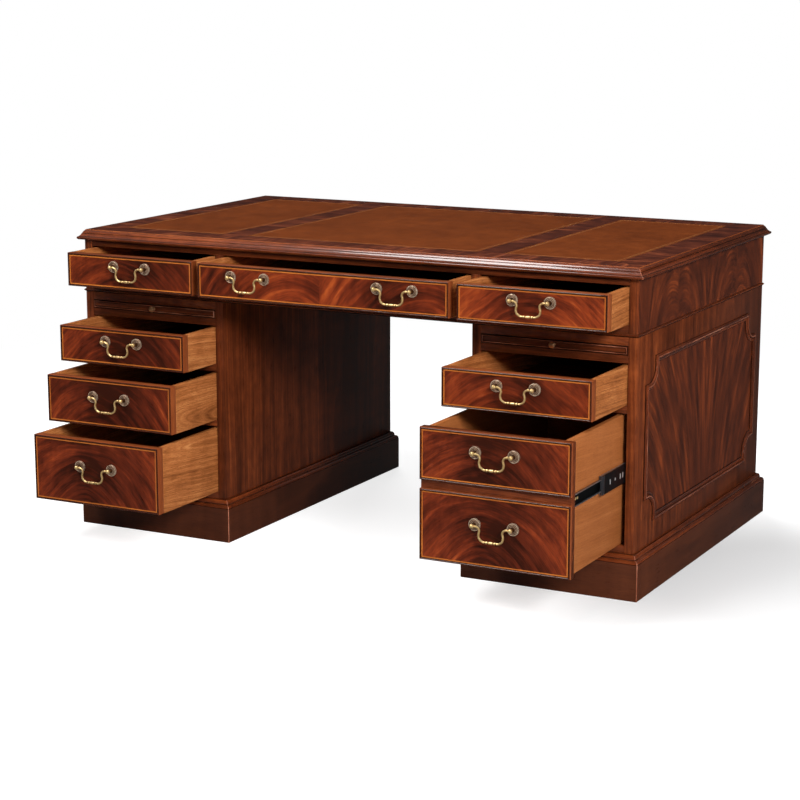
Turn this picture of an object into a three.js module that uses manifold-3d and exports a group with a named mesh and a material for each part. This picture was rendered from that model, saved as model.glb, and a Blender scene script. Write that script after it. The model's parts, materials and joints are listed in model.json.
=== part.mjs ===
// A pedestal writing desk in mahogany, with a three-panel leather top, three frieze drawers,
// four pedestal drawers, a file drawer on telescopic runners, two writing slides and bail pulls.
// Lengths are in millimetres, +Z is up, +X is to the right of someone sitting at the desk,
// and the sitter looks along +Y. The drawers stand open by the amounts given below.
// The origin is on the floor, under the middle of everything that the desk covers.

import * as THREE from 'three';
import { mergeVertices } from 'three/addons/utils/BufferGeometryUtils.js';
import Module from 'manifold-3d';

const wasm = await Module();
wasm.setup();

// Plan sizes of the top and of the case under it
const topWide = 1524;
const topDeep = 914;
const topOverhang = 15;
const pedestalWide = 408;
const sideThick = 22;
const backThick = 18;

// Heights, from the floor up
const plinthHigh = 85.5;
const plinthMouldHigh = 20.5;
const bottomBoardThick = 17;
const lowerOpeningHigh = 168;
const lowerDustBoardThick = 16;
const middleOpeningHigh = 123;
const upperDustBoardThick = 19;
const upperOpeningHigh = 96;
const slideShelfThick = 18;
const slideOpeningHigh = 22;
const pedestalTopThick = 20;
const waistBeadHigh = 7;
const friezeFloorThick = 20;
const friezeOpeningHigh = 89;
const topRailHigh = 16;
const topThick = 25;

// Seam kept between glued pieces, and how far a joined shape is sunk into the one that carries it
const glueLine = 0.3;
const unionSink = 1;

// Plinth and waist bead
const plinthProjection = 18;
const plinthBoardThick = 21;
const plinthShelfWide = 45;
const waistBeadProjection = 3.5;

// Top board: leather panels let in flush, with cross-banded borders and bars between them
const leatherThick = 1.7;
const leatherBorder = 75;
const leatherBarWide = 68;
const leatherBarX = 348;

// Moulded edge of the top board, from the arris down to the underside
const edgeFlatInset = 16;
const edgeArrisDrop = 1.5;
const edgeCoveWide = 8;
const edgeCoveDrop = 7;
const edgeFillet = 1;
const edgeNoseRadius = 6;
const edgeFootInset = 3;

// Frieze carcase
const partitionX = 336;
const topRailDeep = 70;

// Writing slides
const slideDeep = 600;
const slideSideClear = 1;
const slideFootClear = 0.5;
const slideHeadClear = 1;
const slideStopDeep = 40;
const slideBeadWide = 2.5;
const slideBeadProud = 2.5;

// Drawer fronts and boxes
const frontThick = 22;
const frontSideClear = 1;
const frontFootClear = 2;
const frontHeadClear = 4;
const cockBeadWide = 4;
const cockBeadProud = 2.5;
const cockBeadInset = 0.5;
const boxDeep = 620;
const boxWall = 12.5;
const boxFloorThick = 6;
const boxFloorRise = 8;
const boxGroove = 5;
const boxSideClear = 1.5;
const boxFootClear = 0.5;
const stripRecess = 7;

// How far each drawer stands open
const friezeLeftOpen = 105;
const friezeCentreOpen = 116.5;
const friezeRightOpen = 125;
const leftUpperOpen = 145.5;
const leftMiddleOpen = 203.5;
const leftLowerOpen = 265;
const rightUpperOpen = 206;
const fileOpen = 312.5;

// File drawer and its telescopic runners
const fileBoxDeep = 640;
const fileFootClear = 1;
const runnerSpace = 13;
const runnerRise = 169.5;
const runnerPlate = 1.2;
const runnerSetBack = 2;
const runnerPlay = 0.8;
const cabinetMemberHigh = 48;
const cabinetMemberDeep = 10;
const middleMemberDeep = 7.5;
const middleRaceThick = 7.7;
const drawerMemberDeep = 7.5;

// Bail pulls
const pullRise = 14;
const pullPostSpacing = 92;
const centreDrawerPullX = 196.5;
const rosetteRadius = 14.5;
const rosetteThick = 3;
const postNeckRadius = 4;
const postHeadRadius = 5.5;
const pivotProjection = 15;
const pinRadius = 1.5;
const pinPlay = 0.3;
const pinDeep = 3.5;
const bailShoulder = 0.5;
const bailWireRadius = 2.5;
const bailBeadRadius = 3.4;
const bailBeadLong = 18;
const bailDrop = 33;
const pullSides = 10;
const bailSides = 6;
const bailSteps = 16;
const headSteps = 3;

// Slide knobs
const knobRadius = 7;
const knobLong = 14;
const knobFootRadius = 5;
const knobNeckRadius = 3;

// Applied mouldings on the outer sides and the pedestal backs
const panelMouldWide = 18;
const panelMouldProud = 6.5;
const panelEndMargin = 54;
const panelFootMargin = 53;
const panelHeadMargin = 57;
const panelNotch = 60;
const panelEar = 12;
const notchSteps = 4;

// Shares that shape the small profiles, each drawn on a unit width and a unit height
const roundBeadShares = [[0.5, 0], [0.5, 0.35], [0.3, 0.85], [0, 1], [-0.3, 0.85], [-0.5, 0.35], [-0.5, 0]];
const panelMouldShares = [[0.5, 0], [0.5, 0.3], [0.2, 0.6], [0.05, 1], [-0.3, 1], [-0.5, 0.4], [-0.5, 0]];
const plinthMouldShares = [[0, 0], [0, 0.2], [0.15, 0.28], [0.3, 0.5],
  [0.6, 0.68], [0.85, 0.78], [0.85, 1], [1, 1]];
const coveEaseShare = 0.25;
const rosetteShares = [[1, 0.4], [0.86, 0.8], [0.7, 0.65], [0.6, 1]];
const bailPathShares = [[1, 0], [0.9, 0], [0.76, 0.08], [0.69, 0.27], [0.735, 0.545],
  [0.675, 0.82], [0.475, 0.98], [0.25, 1], [0, 1]];
const bailBeadShares = [[-1, 0.55], [-0.5, 1], [0, 0.75], [0.5, 1], [1, 0.55]];
const knobHeadShares = [[0.4, 0.45], [0.95, 0.6], [1, 0.78], [0.6, 0.96], [0, 1]];
const knobFootShare = 0.14;
const knobNeckShare = 0.28;

// Sizes that follow from the ones above
const caseWide = topWide - 2 * topOverhang;
const caseDeep = topDeep - 2 * topOverhang;
const caseFrontY = -caseDeep / 2;
const bottomBoardZ = plinthHigh + plinthMouldHigh;
const lowerOpeningZ = bottomBoardZ + bottomBoardThick;
const lowerDustBoardZ = lowerOpeningZ + lowerOpeningHigh;
const middleOpeningZ = lowerDustBoardZ + lowerDustBoardThick;
const upperDustBoardZ = middleOpeningZ + middleOpeningHigh;
const upperOpeningZ = upperDustBoardZ + upperDustBoardThick;
const slideShelfZ = upperOpeningZ + upperOpeningHigh;
const slideOpeningZ = slideShelfZ + slideShelfThick;
const pedestalTopZ = slideOpeningZ + slideOpeningHigh;
const waistZ = pedestalTopZ + pedestalTopThick;
const friezeFloorZ = waistZ + waistBeadHigh;
const friezeOpeningZ = friezeFloorZ + friezeFloorThick;
const topRailZ = friezeOpeningZ + friezeOpeningHigh;
const topBoardZ = topRailZ + topRailHigh;
const fileOpeningHigh = upperDustBoardZ - lowerOpeningZ;
const runnerLong = fileBoxDeep - runnerSetBack;
const pedestalX = (caseWide - pedestalWide) / 2;
const pedestalInner = pedestalWide / 2 - sideThick;
const pedestalOpeningWide = 2 * pedestalInner;
const backInnerY = caseDeep / 2 - backThick;
const friezeInner = caseWide / 2 - sideThick;
const friezeSideOpeningWide = friezeInner - partitionX - sideThick;
const friezeSideX = friezeInner - friezeSideOpeningWide / 2;
const postX = pullPostSpacing / 2;
const bailEndX = postX - postHeadRadius - bailShoulder;

// Finishes
const mahogany = new THREE.MeshStandardMaterial({ color: 0x5c2616, roughness: 0.35, metalness: 0 });
const flameMahogany = new THREE.MeshStandardMaterial({ color: 0x7c3118, roughness: 0.3, metalness: 0 });
const oak = new THREE.MeshStandardMaterial({ color: 0xa8693a, roughness: 0.6, metalness: 0 });
const leather = new THREE.MeshStandardMaterial({ color: 0x8f4f28, roughness: 0.5, metalness: 0 });
const brass = new THREE.MeshStandardMaterial({ color: 0xb39458, roughness: 0.35, metalness: 1 });
const blackSteel = new THREE.MeshStandardMaterial({ color: 0x17171a, roughness: 0.45, metalness: 0.8 });

function piece(name, material, geometry) {
  const mesh = new THREE.Mesh(geometry, material);
  mesh.name = name;
  return mesh;
}

// A box between two limits on each axis
function block([x0, x1], [y0, y1], [z0, z1]) {
  const geometry = new THREE.BoxGeometry(x1 - x0, y1 - y0, z1 - z0);
  return geometry.translate((x0 + x1) / 2, (y0 + y1) / 2, (z0 + z1) / 2);
}

// A plain board, placed by its centre
function board(name, material, [x0, x1], [y0, y1], [z0, z1]) {
  const mesh = piece(name, material, new THREE.BoxGeometry(x1 - x0, y1 - y0, z1 - z0));
  mesh.position.set((x0 + x1) / 2, (y0 + y1) / 2, (z0 + z1) / 2);
  return mesh;
}

// The solid inside a closed geometry, without the flat triangles at the poles of a turned one
function toSolid(geometry) {
  const bare = geometry.clone();
  bare.deleteAttribute('normal');
  bare.deleteAttribute('uv');
  const merged = mergeVertices(bare);
  const corners = merged.index.array;
  const triangles = [];
  for (let i = 0; i < corners.length; i += 3) {
    const [a, b, c] = corners.slice(i, i + 3);
    if (a !== b && b !== c && c !== a) triangles.push(a, b, c);
  }
  return new wasm.Manifold(new wasm.Mesh({
    numProp: 3,
    vertProperties: new Float32Array(merged.attributes.position.array),
    triVerts: new Uint32Array(triangles),
  }));
}

function toGeometry(solid) {
  const mesh = solid.getMesh();
  const geometry = new THREE.BufferGeometry();
  geometry.setAttribute('position', new THREE.BufferAttribute(mesh.vertProperties, 3));
  geometry.setIndex(new THREE.BufferAttribute(mesh.triVerts, 1));
  geometry.computeVertexNormals();
  return geometry;
}

function joined(...geometries) {
  return toGeometry(geometries.map(toSolid).reduce((whole, next) => whole.add(next)));
}

function cutBy(geometry, ...cutters) {
  return toGeometry(cutters.map(toSolid).reduce((whole, next) => whole.subtract(next), toSolid(geometry)));
}

function closedMesh(vertices, faces) {
  const geometry = new THREE.BufferGeometry();
  geometry.setAttribute('position', new THREE.Float32BufferAttribute(vertices, 3));
  geometry.setIndex(faces);
  geometry.computeVertexNormals();
  return geometry;
}

// Corners of a rectangle, anticlockwise from above
function rectangle(wide, deep) {
  const signs = [[-1, -1], [1, -1], [1, 1], [-1, 1]];
  return signs.map(([x, y]) => new THREE.Vector2(x * wide / 2, y * deep / 2));
}

// A slab built of rectangles, one for each inset and height in the outline, from the foot up
function mouldedSlab(wide, deep, outline) {
  const vertices = outline.flatMap(([inset, z]) => (
    rectangle(wide - 2 * inset, deep - 2 * inset).flatMap((corner) => [corner.x, corner.y, z])));
  const faces = [0, 2, 1, 0, 3, 2];
  const slabSides = 4;
  for (let level = 1; level < outline.length; level += 1) {
    const low = slabSides * (level - 1);
    const high = low + slabSides;
    for (let side = 0; side < slabSides; side += 1) {
      const next = (side + 1) % slabSides;
      faces.push(low + side, low + next, high + next, low + side, high + next, high + side);
    }
  }
  const top = slabSides * (outline.length - 1);
  faces.push(top, top + 1, top + 2, top, top + 2, top + 3);
  return closedMesh(vertices, faces);
}

// Direction in which the mitre at one corner of an anticlockwise path moves as the path is offset
function mitre(path, index) {
  const here = path[index];
  const before = path[(index + path.length - 1) % path.length];
  const after = path[(index + 1) % path.length];
  const arriving = here.clone().sub(before).normalize();
  const leaving = after.clone().sub(here).normalize();
  const first = new THREE.Vector2(arriving.y, -arriving.x);
  const second = new THREE.Vector2(leaving.y, -leaving.x);
  return first.clone().add(second).divideScalar(1 + first.dot(second));
}

// A moulding mitred round a closed path in the XY plane. The outline holds distances out from the path
// and heights above the plane, and both the path and the outline run anticlockwise
function mouldingRound(path, outline) {
  const vertices = [];
  const faces = [];
  const count = outline.length;
  path.forEach((point, index) => {
    const offset = mitre(path, index);
    for (const [out, up] of outline) vertices.push(point.x + offset.x * out, point.y + offset.y * out, up);
  });
  for (let i = 0; i < path.length; i += 1) {
    const here = i * count;
    const ahead = ((i + 1) % path.length) * count;
    for (let j = 0; j < count; j += 1) {
      const next = (j + 1) % count;
      faces.push(here + j, ahead + j, ahead + next, here + j, ahead + next, here + next);
    }
  }
  return closedMesh(vertices, faces);
}

// A raised strip's outline from its unit shares, with its foot sunk into the face that carries it
function raisedOutline(shares, wide, proud) {
  const crown = shares.map(([across, up]) => [across * wide, up * proud]);
  const last = shares.length - 1;
  crown[0][1] = -unionSink;
  crown[last][1] = -unionSink;
  return crown;
}

// A rectangular bead standing out of a face that looks along -Y
function beadOnFront(wide, high, inset, beadWide, beadProud) {
  const margin = 2 * inset + beadWide;
  const path = rectangle(wide - margin, high - margin);
  return mouldingRound(path, raisedOutline(roundBeadShares, beadWide, beadProud)).rotateX(Math.PI / 2);
}

// One corner of an indented frame, for the corner where both coordinates are positive
function indentedCorner(halfWide, halfHigh) {
  const points = [new THREE.Vector2(halfWide, halfHigh - panelNotch)];
  const centreX = halfWide - panelEar;
  const centreY = halfHigh - panelEar;
  const radius = panelNotch - panelEar;
  for (let step = 0; step <= notchSteps; step += 1) {
    const angle = (3 - step / notchSteps) * Math.PI / 2;
    points.push(new THREE.Vector2(centreX + radius * Math.cos(angle), centreY + radius * Math.sin(angle)));
  }
  points.push(new THREE.Vector2(halfWide - panelNotch, halfHigh));
  return points;
}

// A frame with its four corners scooped in, moulded to lie on a face that looks up
function indentedMoulding(wide, high) {
  const corner = indentedCorner((wide - panelMouldWide) / 2, (high - panelMouldWide) / 2);
  const mirrored = (x, y) => corner.map((point) => new THREE.Vector2(x * point.x, y * point.y));
  const path = [
    ...mirrored(1, 1),
    ...mirrored(-1, 1).reverse(),
    ...mirrored(-1, -1),
    ...mirrored(1, -1).reverse(),
  ];
  return mouldingRound(path, raisedOutline(panelMouldShares, panelMouldWide, panelMouldProud));
}

// The applied moulding on an upright face, turned about Z from the -Y direction and moved out to the face
function panelMoulding(wide, turn, faceOut) {
  const low = bottomBoardZ + panelFootMargin;
  const high = waistZ - panelHeadMargin;
  const frame = indentedMoulding(wide, high - low).rotateX(Math.PI / 2);
  return frame.translate(0, -faceOut, (low + high) / 2).rotateZ(turn);
}

// Top board and its leather
function topEdgeOutline() {
  const noseTop = topThick - edgeArrisDrop - edgeCoveDrop - edgeFillet;
  const coveInset = edgeFlatInset - edgeCoveWide;
  const easeWide = edgeCoveWide * coveEaseShare;
  const easeHigh = edgeCoveDrop * coveEaseShare;
  const noseInset = edgeNoseRadius * (1 - Math.SQRT1_2);
  return [
    [edgeFootInset, 0],
    [0, noseTop / 2],
    [noseInset, noseTop],
    [coveInset, noseTop],
    [coveInset, noseTop + edgeFillet],
    [coveInset + easeWide, noseTop + edgeFillet + easeHigh],
    [edgeFlatInset - easeWide, noseTop + edgeFillet + edgeCoveDrop],
    [edgeFlatInset, topThick],
  ];
}

function leatherPlan() {
  const outer = topWide / 2 - leatherBorder - edgeFlatInset;
  const barHalf = leatherBarWide / 2;
  return [
    { name: 'leather_left', xs: [-outer, -leatherBarX - barHalf] },
    { name: 'leather_centre', xs: [-leatherBarX + barHalf, leatherBarX - barHalf] },
    { name: 'leather_right', xs: [leatherBarX + barHalf, outer] },
  ];
}

function topPieces() {
  const halfDeep = topDeep / 2 - leatherBorder - edgeFlatInset;
  const recess = leatherThick + glueLine;
  const recesses = leatherPlan().map(({ xs }) => (
    block(xs, [-halfDeep, halfDeep], [topThick - recess, topThick + unionSink])));
  const slab = cutBy(mouldedSlab(topWide, topDeep, topEdgeOutline()), ...recesses);
  const panels = leatherPlan().map(({ name, xs }) => {
    const across = [xs[0] + glueLine, xs[1] - glueLine];
    const along = [-halfDeep + glueLine, halfDeep - glueLine];
    return board(name, leather, across, along, [topThick - leatherThick, topThick]);
  });
  const group = new THREE.Group();
  group.add(piece('top_board', mahogany, slab), ...panels);
  group.position.z = topBoardZ;
  return group;
}

// Frieze carcase: a floor board with the waist bead on its edge, ends, a back, and partitions under
// the top rail
function friezeFloor() {
  const middle = waistBeadHigh / 2;
  const bead = mouldedSlab(caseWide, caseDeep, [
    [-waistBeadProjection / 2, 0],
    [-waistBeadProjection, middle / 2],
    [-waistBeadProjection, waistBeadHigh - middle / 2],
    [-waistBeadProjection / 2, waistBeadHigh - glueLine],
  ]);
  const across = friezeInner - glueLine;
  const rise = [waistBeadHigh - unionSink, waistBeadHigh + friezeFloorThick - glueLine];
  const floor = block([-across, across], [caseFrontY, backInnerY - glueLine], rise);
  const mesh = piece('frieze_floor_board', mahogany, joined(bead, floor));
  mesh.position.z = waistZ;
  return mesh;
}

function friezePartitions() {
  const along = [caseFrontY, backInnerY - glueLine];
  const head = topBoardZ - glueLine;
  const across = friezeInner - glueLine;
  const rail = block([-across, across], [caseFrontY, caseFrontY + topRailDeep], [topRailZ, head]);
  const right = block([partitionX, partitionX + sideThick], along, [friezeOpeningZ, head]);
  const left = block([-partitionX - sideThick, -partitionX], along, [friezeOpeningZ, head]);
  return piece('frieze_partition_frame', mahogany, joined(rail, right, left));
}

function friezePieces() {
  const halfWide = caseWide / 2;
  const rise = [friezeFloorZ, topBoardZ - glueLine];
  const along = [caseFrontY, caseDeep / 2];
  const across = friezeInner - glueLine;
  const group = new THREE.Group();
  group.add(
    friezeFloor(),
    friezePartitions(),
    board('frieze_end_left', mahogany, [-halfWide, -friezeInner], along, rise),
    board('frieze_end_right', mahogany, [friezeInner, halfWide], along, rise),
    board('frieze_back', mahogany, [-across, across], [backInnerY, caseDeep / 2], rise),
  );
  return group;
}

// Plinth: four mitred boards under a moulded shelf that the pedestal stands on
function plinth(name) {
  const mould = plinthMouldShares.map(([inward, up]) => (
    [-inward * plinthProjection, plinthHigh + up * (plinthMouldHigh - glueLine)]));
  const outline = [
    [-plinthBoardThick, 0],
    [0, 0],
    ...mould,
    [-plinthShelfWide, plinthHigh + plinthMouldHigh - glueLine],
    [-plinthShelfWide, plinthHigh],
    [-plinthBoardThick, plinthHigh],
  ];
  const path = rectangle(pedestalWide + 2 * plinthProjection, caseDeep + 2 * plinthProjection);
  return piece(name, mahogany, mouldingRound(path, outline));
}

// Slide housing: the pedestal's top board and the shelf under the slide, held apart by a stop rail
function slideHousing(name) {
  const across = [-pedestalInner + glueLine, pedestalInner - glueLine];
  const rear = backInnerY - glueLine;
  const head = waistZ - glueLine;
  return piece(name, mahogany, joined(
    block(across, [caseFrontY, rear], [slideShelfZ, slideOpeningZ]),
    block(across, [caseFrontY, rear], [pedestalTopZ, head]),
    block(across, [rear - slideStopDeep, rear], [slideShelfZ, head]),
  ));
}

function outerSide(name, side) {
  const outerX = pedestalWide / 2;
  const across = side > 0 ? [pedestalInner, outerX] : [-outerX, -pedestalInner];
  const panel = block(across, [caseFrontY, caseDeep / 2], [bottomBoardZ, waistZ - glueLine]);
  const frame = panelMoulding(caseDeep - 2 * panelEndMargin, side * Math.PI / 2, outerX);
  return piece(name, mahogany, joined(panel, frame));
}

function pedestalBack(name) {
  const across = pedestalInner - glueLine;
  const panel = block([-across, across], [backInnerY, caseDeep / 2], [bottomBoardZ, waistZ - glueLine]);
  const frame = panelMoulding(pedestalWide - 2 * panelEndMargin, Math.PI, caseDeep / 2);
  return piece(name, mahogany, joined(panel, frame));
}

// One pedestal's carcase. The side is 1 on the right and -1 on the left
function pedestal(label, side, dustBoards) {
  const innerX = pedestalWide / 2;
  const innerAcross = side > 0 ? [-innerX, -pedestalInner] : [pedestalInner, innerX];
  const along = [caseFrontY, caseDeep / 2];
  const rise = [bottomBoardZ, waistZ - glueLine];
  const between = [-pedestalInner + glueLine, pedestalInner - glueLine];
  const inside = [caseFrontY, backInnerY - glueLine];
  const group = new THREE.Group();
  group.add(
    plinth(`${label}_plinth`),
    outerSide(`${label}_outer_side`, side),
    board(`${label}_inner_side`, mahogany, innerAcross, along, rise),
    pedestalBack(`${label}_back`),
    board(`${label}_bottom_board`, mahogany, between, inside, [bottomBoardZ, lowerOpeningZ]),
    slideHousing(`${label}_slide_housing`),
  );
  for (const { name, low, thick } of dustBoards) {
    group.add(board(`${label}_${name}`, mahogany, between, inside, [low, low + thick]));
  }
  group.position.x = side * pedestalX;
  return group;
}

// Bail pull: two posts with ringed rosettes, and a bail that swings on pins in the posts' heads
function post(side) {
  const rosette = rosetteShares.map(([out, up]) => (
    new THREE.Vector2(out * rosetteRadius, up * rosetteThick)));
  const profile = [
    new THREE.Vector2(0, -unionSink),
    new THREE.Vector2(rosetteRadius, -unionSink),
    ...rosette,
    new THREE.Vector2(postNeckRadius, rosetteThick + postNeckRadius / 2),
  ];
  const firstAngle = Math.asin(postNeckRadius / postHeadRadius);
  for (let step = 0; step <= headSteps; step += 1) {
    const angle = Math.PI - firstAngle - (Math.PI - firstAngle) * step / headSteps;
    const out = step === headSteps ? 0 : postHeadRadius * Math.sin(angle);
    profile.push(new THREE.Vector2(out, pivotProjection + postHeadRadius * Math.cos(angle)));
  }
  const turned = new THREE.LatheGeometry(profile, pullSides).rotateX(Math.PI);
  const boreLong = postHeadRadius + pinDeep;
  const bore = new THREE.CylinderGeometry(pinRadius + pinPlay, pinRadius + pinPlay, boreLong, pullSides);
  bore.rotateZ(Math.PI / 2);
  bore.translate(-side * (postHeadRadius - pinDeep - pinPlay + boreLong / 2), -pivotProjection, 0);
  return cutBy(turned, bore).translate(side * postX, 0, 0);
}

function bailCurve() {
  const half = bailPathShares.map(([out, down]) => new THREE.Vector3(out * bailEndX, 0, -down * bailDrop));
  const other = half.slice(0, -1).reverse().map((point) => new THREE.Vector3(-point.x, 0, point.z));
  return new THREE.CatmullRomCurve3([...half, ...other]);
}

function bail(name) {
  const section = new THREE.Shape();
  for (let i = 0; i < bailSides; i += 1) {
    const angle = 2 * Math.PI * i / bailSides;
    const corner = [bailWireRadius * Math.cos(angle), bailWireRadius * Math.sin(angle)];
    if (i === 0) section.moveTo(...corner);
    else section.lineTo(...corner);
  }
  section.closePath();
  const wire = new THREE.ExtrudeGeometry(section, { extrudePath: bailCurve(), steps: bailSteps });
  const pinEnd = postX - postHeadRadius + pinDeep;
  const pinLong = pinEnd - bailEndX + bailWireRadius;
  const pins = [1, -1].map((side) => (
    new THREE.CylinderGeometry(pinRadius, pinRadius, pinLong, bailSides)
      .rotateZ(Math.PI / 2)
      .translate(side * (pinEnd - pinLong / 2), 0, 0)));
  const profile = bailBeadShares.map(([along, out]) => (
    new THREE.Vector2(out * bailBeadRadius, along * bailBeadLong / 2)));
  profile.unshift(new THREE.Vector2(0, -bailBeadLong / 2));
  profile.push(new THREE.Vector2(0, bailBeadLong / 2));
  const bead = new THREE.LatheGeometry(profile, bailSides).rotateZ(Math.PI / 2).translate(0, 0, -bailDrop);
  return piece(name, brass, joined(wire, bead, ...pins));
}

// A drawer front with a cock bead round it and posts for its pulls. The face is at y 0, and z starts
// at the foot of the front
function drawerFront(name, wide, high, pulls, strip) {
  const panel = block([-wide / 2, wide / 2], [0, frontThick], [0, high]);
  const fields = strip ? [[0, strip.low], [strip.high, high]] : [[0, high]];
  const beads = fields.map(([low, top]) => (
    beadOnFront(wide, top - low, cockBeadInset, cockBeadWide, cockBeadProud)
      .translate(0, 0, (low + top) / 2)));
  const posts = pulls.flatMap(({ x, z }) => [1, -1].map((side) => post(side).translate(x, 0, z)));
  const across = wide / 2 + unionSink;
  const slab = strip
    ? cutBy(panel, block([-across, across], [-unionSink, stripRecess], [strip.low, strip.high]))
    : panel;
  return piece(name, flameMahogany, joined(slab, ...beads, ...posts));
}

// A drawer box: two sides, a back and a floor in grooves, closed at the front by the drawer front
function drawerBox(name, wide, deep, high) {
  const outer = wide / 2;
  const inner = outer - boxWall;
  const front = frontThick + glueLine;
  const rear = frontThick + deep;
  return piece(name, oak, joined(
    block([inner, outer], [front, rear], [0, high]),
    block([-outer, -inner], [front, rear], [0, high]),
    block([-inner - boxGroove, inner + boxGroove], [rear - boxWall, rear], [0, high]),
    block([-inner - boxGroove, inner + boxGroove], [front, rear - boxWall / 2],
      [boxFloorRise, boxFloorRise + boxFloorThick]),
  ));
}

// A drawer hung in an opening. Its group stands at the foot of the opening, on the plane of the case's
// front, moved out by the distance the drawer is open
function drawer({ name, x, z, wide, high, openBy, pullsX = [0] }) {
  const frontWide = wide - 2 * frontSideClear;
  const frontHigh = high - frontFootClear - frontHeadClear;
  const pullZ = frontHigh / 2 + pullRise;
  const pulls = pullsX.map((pullX) => ({ x: pullX, z: pullZ }));
  const front = drawerFront(`${name}_front`, frontWide, frontHigh, pulls);
  front.position.z = frontFootClear;
  const boxHigh = high - boxFootClear - frontHeadClear;
  const box = drawerBox(`${name}_box`, wide - 2 * boxSideClear, boxDeep, boxHigh);
  box.position.z = boxFootClear;
  const group = new THREE.Group();
  group.add(front, box);
  pullsX.forEach((pullX) => {
    const side = pullX < 0 ? '_left' : '_right';
    const swing = bail(`${name}_bail${pullsX.length > 1 ? side : ''}`);
    swing.position.set(pullX, -pivotProjection, frontFootClear + pullZ);
    group.add(swing);
  });
  group.position.set(x, caseFrontY - openBy, z);
  return group;
}

// A length of runner channel, with its outline in distances in from the pedestal's side and heights
function runnerMember(name, side, outline) {
  const shape = new THREE.Shape(outline.map(([inward, up]) => (
    new THREE.Vector2(side * (pedestalInner - glueLine - inward), up))));
  const channel = new THREE.ExtrudeGeometry(shape, { depth: runnerLong, bevelEnabled: false });
  channel.rotateX(Math.PI / 2).translate(0, runnerLong, 0);
  return piece(name, blackSteel, channel);
}

// A channel's outline: a web between two inward distances, and flanges of one thickness at its edges
function channelOutline(webFrom, webTo, flangeTo, halfHigh, flangeThick) {
  const inner = halfHigh - flangeThick;
  return [[webFrom, -halfHigh], [flangeTo, -halfHigh], [flangeTo, -inner], [webTo, -inner],
    [webTo, inner], [flangeTo, inner], [flangeTo, halfHigh], [webFrom, halfHigh]];
}

function runnerOutlines() {
  const deep = runnerSpace - 2 * glueLine;
  const middleFrom = runnerPlate + runnerPlay;
  const middleHalf = cabinetMemberHigh / 2 - runnerPlate - runnerPlay;
  const drawerHalf = middleHalf - middleRaceThick - runnerPlay;
  return {
    cabinet: channelOutline(0, runnerPlate, cabinetMemberDeep, cabinetMemberHigh / 2, runnerPlate),
    middle: channelOutline(middleFrom, middleFrom + runnerPlate, middleFrom + middleMemberDeep, middleHalf,
      middleRaceThick),
    drawer: channelOutline(deep, deep - runnerPlate, deep - drawerMemberDeep, drawerHalf, runnerPlate),
  };
}

// The runners on both sides of the file drawer, each member in the group that carries or moves it
function runnerSet(member, openBy) {
  const outline = runnerOutlines()[member];
  const group = new THREE.Group();
  for (const [label, side] of [['left', -1], ['right', 1]]) {
    group.add(runnerMember(`file_runner_${member}_${label}`, side, outline));
  }
  const startY = caseFrontY + frontThick + runnerSetBack - openBy;
  group.position.set(pedestalX, startY, lowerOpeningZ + runnerRise);
  return group;
}

// File drawer: one tall front made to look like two drawers, on a box that is narrower by its runners
function fileDrawer() {
  const frontWide = pedestalOpeningWide - 2 * frontSideClear;
  const frontHigh = fileOpeningHigh - frontFootClear - frontHeadClear;
  const strip = {
    low: lowerOpeningHigh - frontFootClear - frontHeadClear,
    high: middleOpeningZ - lowerOpeningZ,
  };
  const pulls = {
    lower: strip.low / 2 + pullRise,
    upper: (strip.high + frontHigh) / 2 + pullRise,
  };
  const places = Object.values(pulls).map((z) => ({ x: 0, z }));
  const front = drawerFront('file_drawer_front', frontWide, frontHigh, places, strip);
  front.position.z = frontFootClear;
  const boxHigh = fileOpeningHigh - fileFootClear - frontHeadClear;
  const box = drawerBox('file_drawer_box', pedestalOpeningWide - 2 * runnerSpace, fileBoxDeep, boxHigh);
  box.position.z = fileFootClear;
  const group = new THREE.Group();
  group.add(front, box);
  for (const [label, z] of Object.entries(pulls)) {
    const swing = bail(`file_drawer_bail_${label}`);
    swing.position.set(0, -pivotProjection, frontFootClear + z);
    group.add(swing);
  }
  group.position.set(pedestalX, caseFrontY - fileOpen, lowerOpeningZ);
  return group;
}

// Writing slide: a board with a beaded front edge and one small knob
function knob(name) {
  const head = knobHeadShares.map(([out, along]) => new THREE.Vector2(out * knobRadius, along * knobLong));
  const profile = [
    new THREE.Vector2(0, glueLine),
    new THREE.Vector2(knobFootRadius, glueLine),
    new THREE.Vector2(knobFootRadius, knobLong * knobFootShare),
    new THREE.Vector2(knobNeckRadius, knobLong * knobNeckShare),
    ...head,
  ];
  return piece(name, brass, new THREE.LatheGeometry(profile, pullSides).rotateX(Math.PI));
}

function writingSlide(label, side) {
  const wide = pedestalOpeningWide - 2 * slideSideClear;
  const thick = slideOpeningHigh - slideFootClear - slideHeadClear;
  const slab = block([-wide / 2, wide / 2], [0, slideDeep], [0, thick]);
  const bead = beadOnFront(wide, thick, cockBeadInset, slideBeadWide, slideBeadProud);
  bead.translate(0, 0, thick / 2);
  const pull = knob(`${label}_slide_knob`);
  pull.position.z = thick / 2;
  const group = new THREE.Group();
  group.add(piece(`${label}_writing_slide`, mahogany, joined(slab, bead)), pull);
  group.position.set(side * pedestalX, caseFrontY, slideOpeningZ + slideFootClear);
  return group;
}

const upperDustBoard = { name: 'upper_dust_board', low: upperDustBoardZ, thick: upperDustBoardThick };
const lowerDustBoard = { name: 'lower_dust_board', low: lowerDustBoardZ, thick: lowerDustBoardThick };

const friezeDrawer = { z: friezeOpeningZ, wide: friezeSideOpeningWide, high: friezeOpeningHigh };
const pedestalDrawer = { x: -pedestalX, wide: pedestalOpeningWide };
const upperDrawer = { z: upperOpeningZ, high: upperOpeningHigh };
const middleDrawer = { z: middleOpeningZ, high: middleOpeningHigh };
const lowerDrawer = { z: lowerOpeningZ, high: lowerOpeningHigh };

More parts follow.
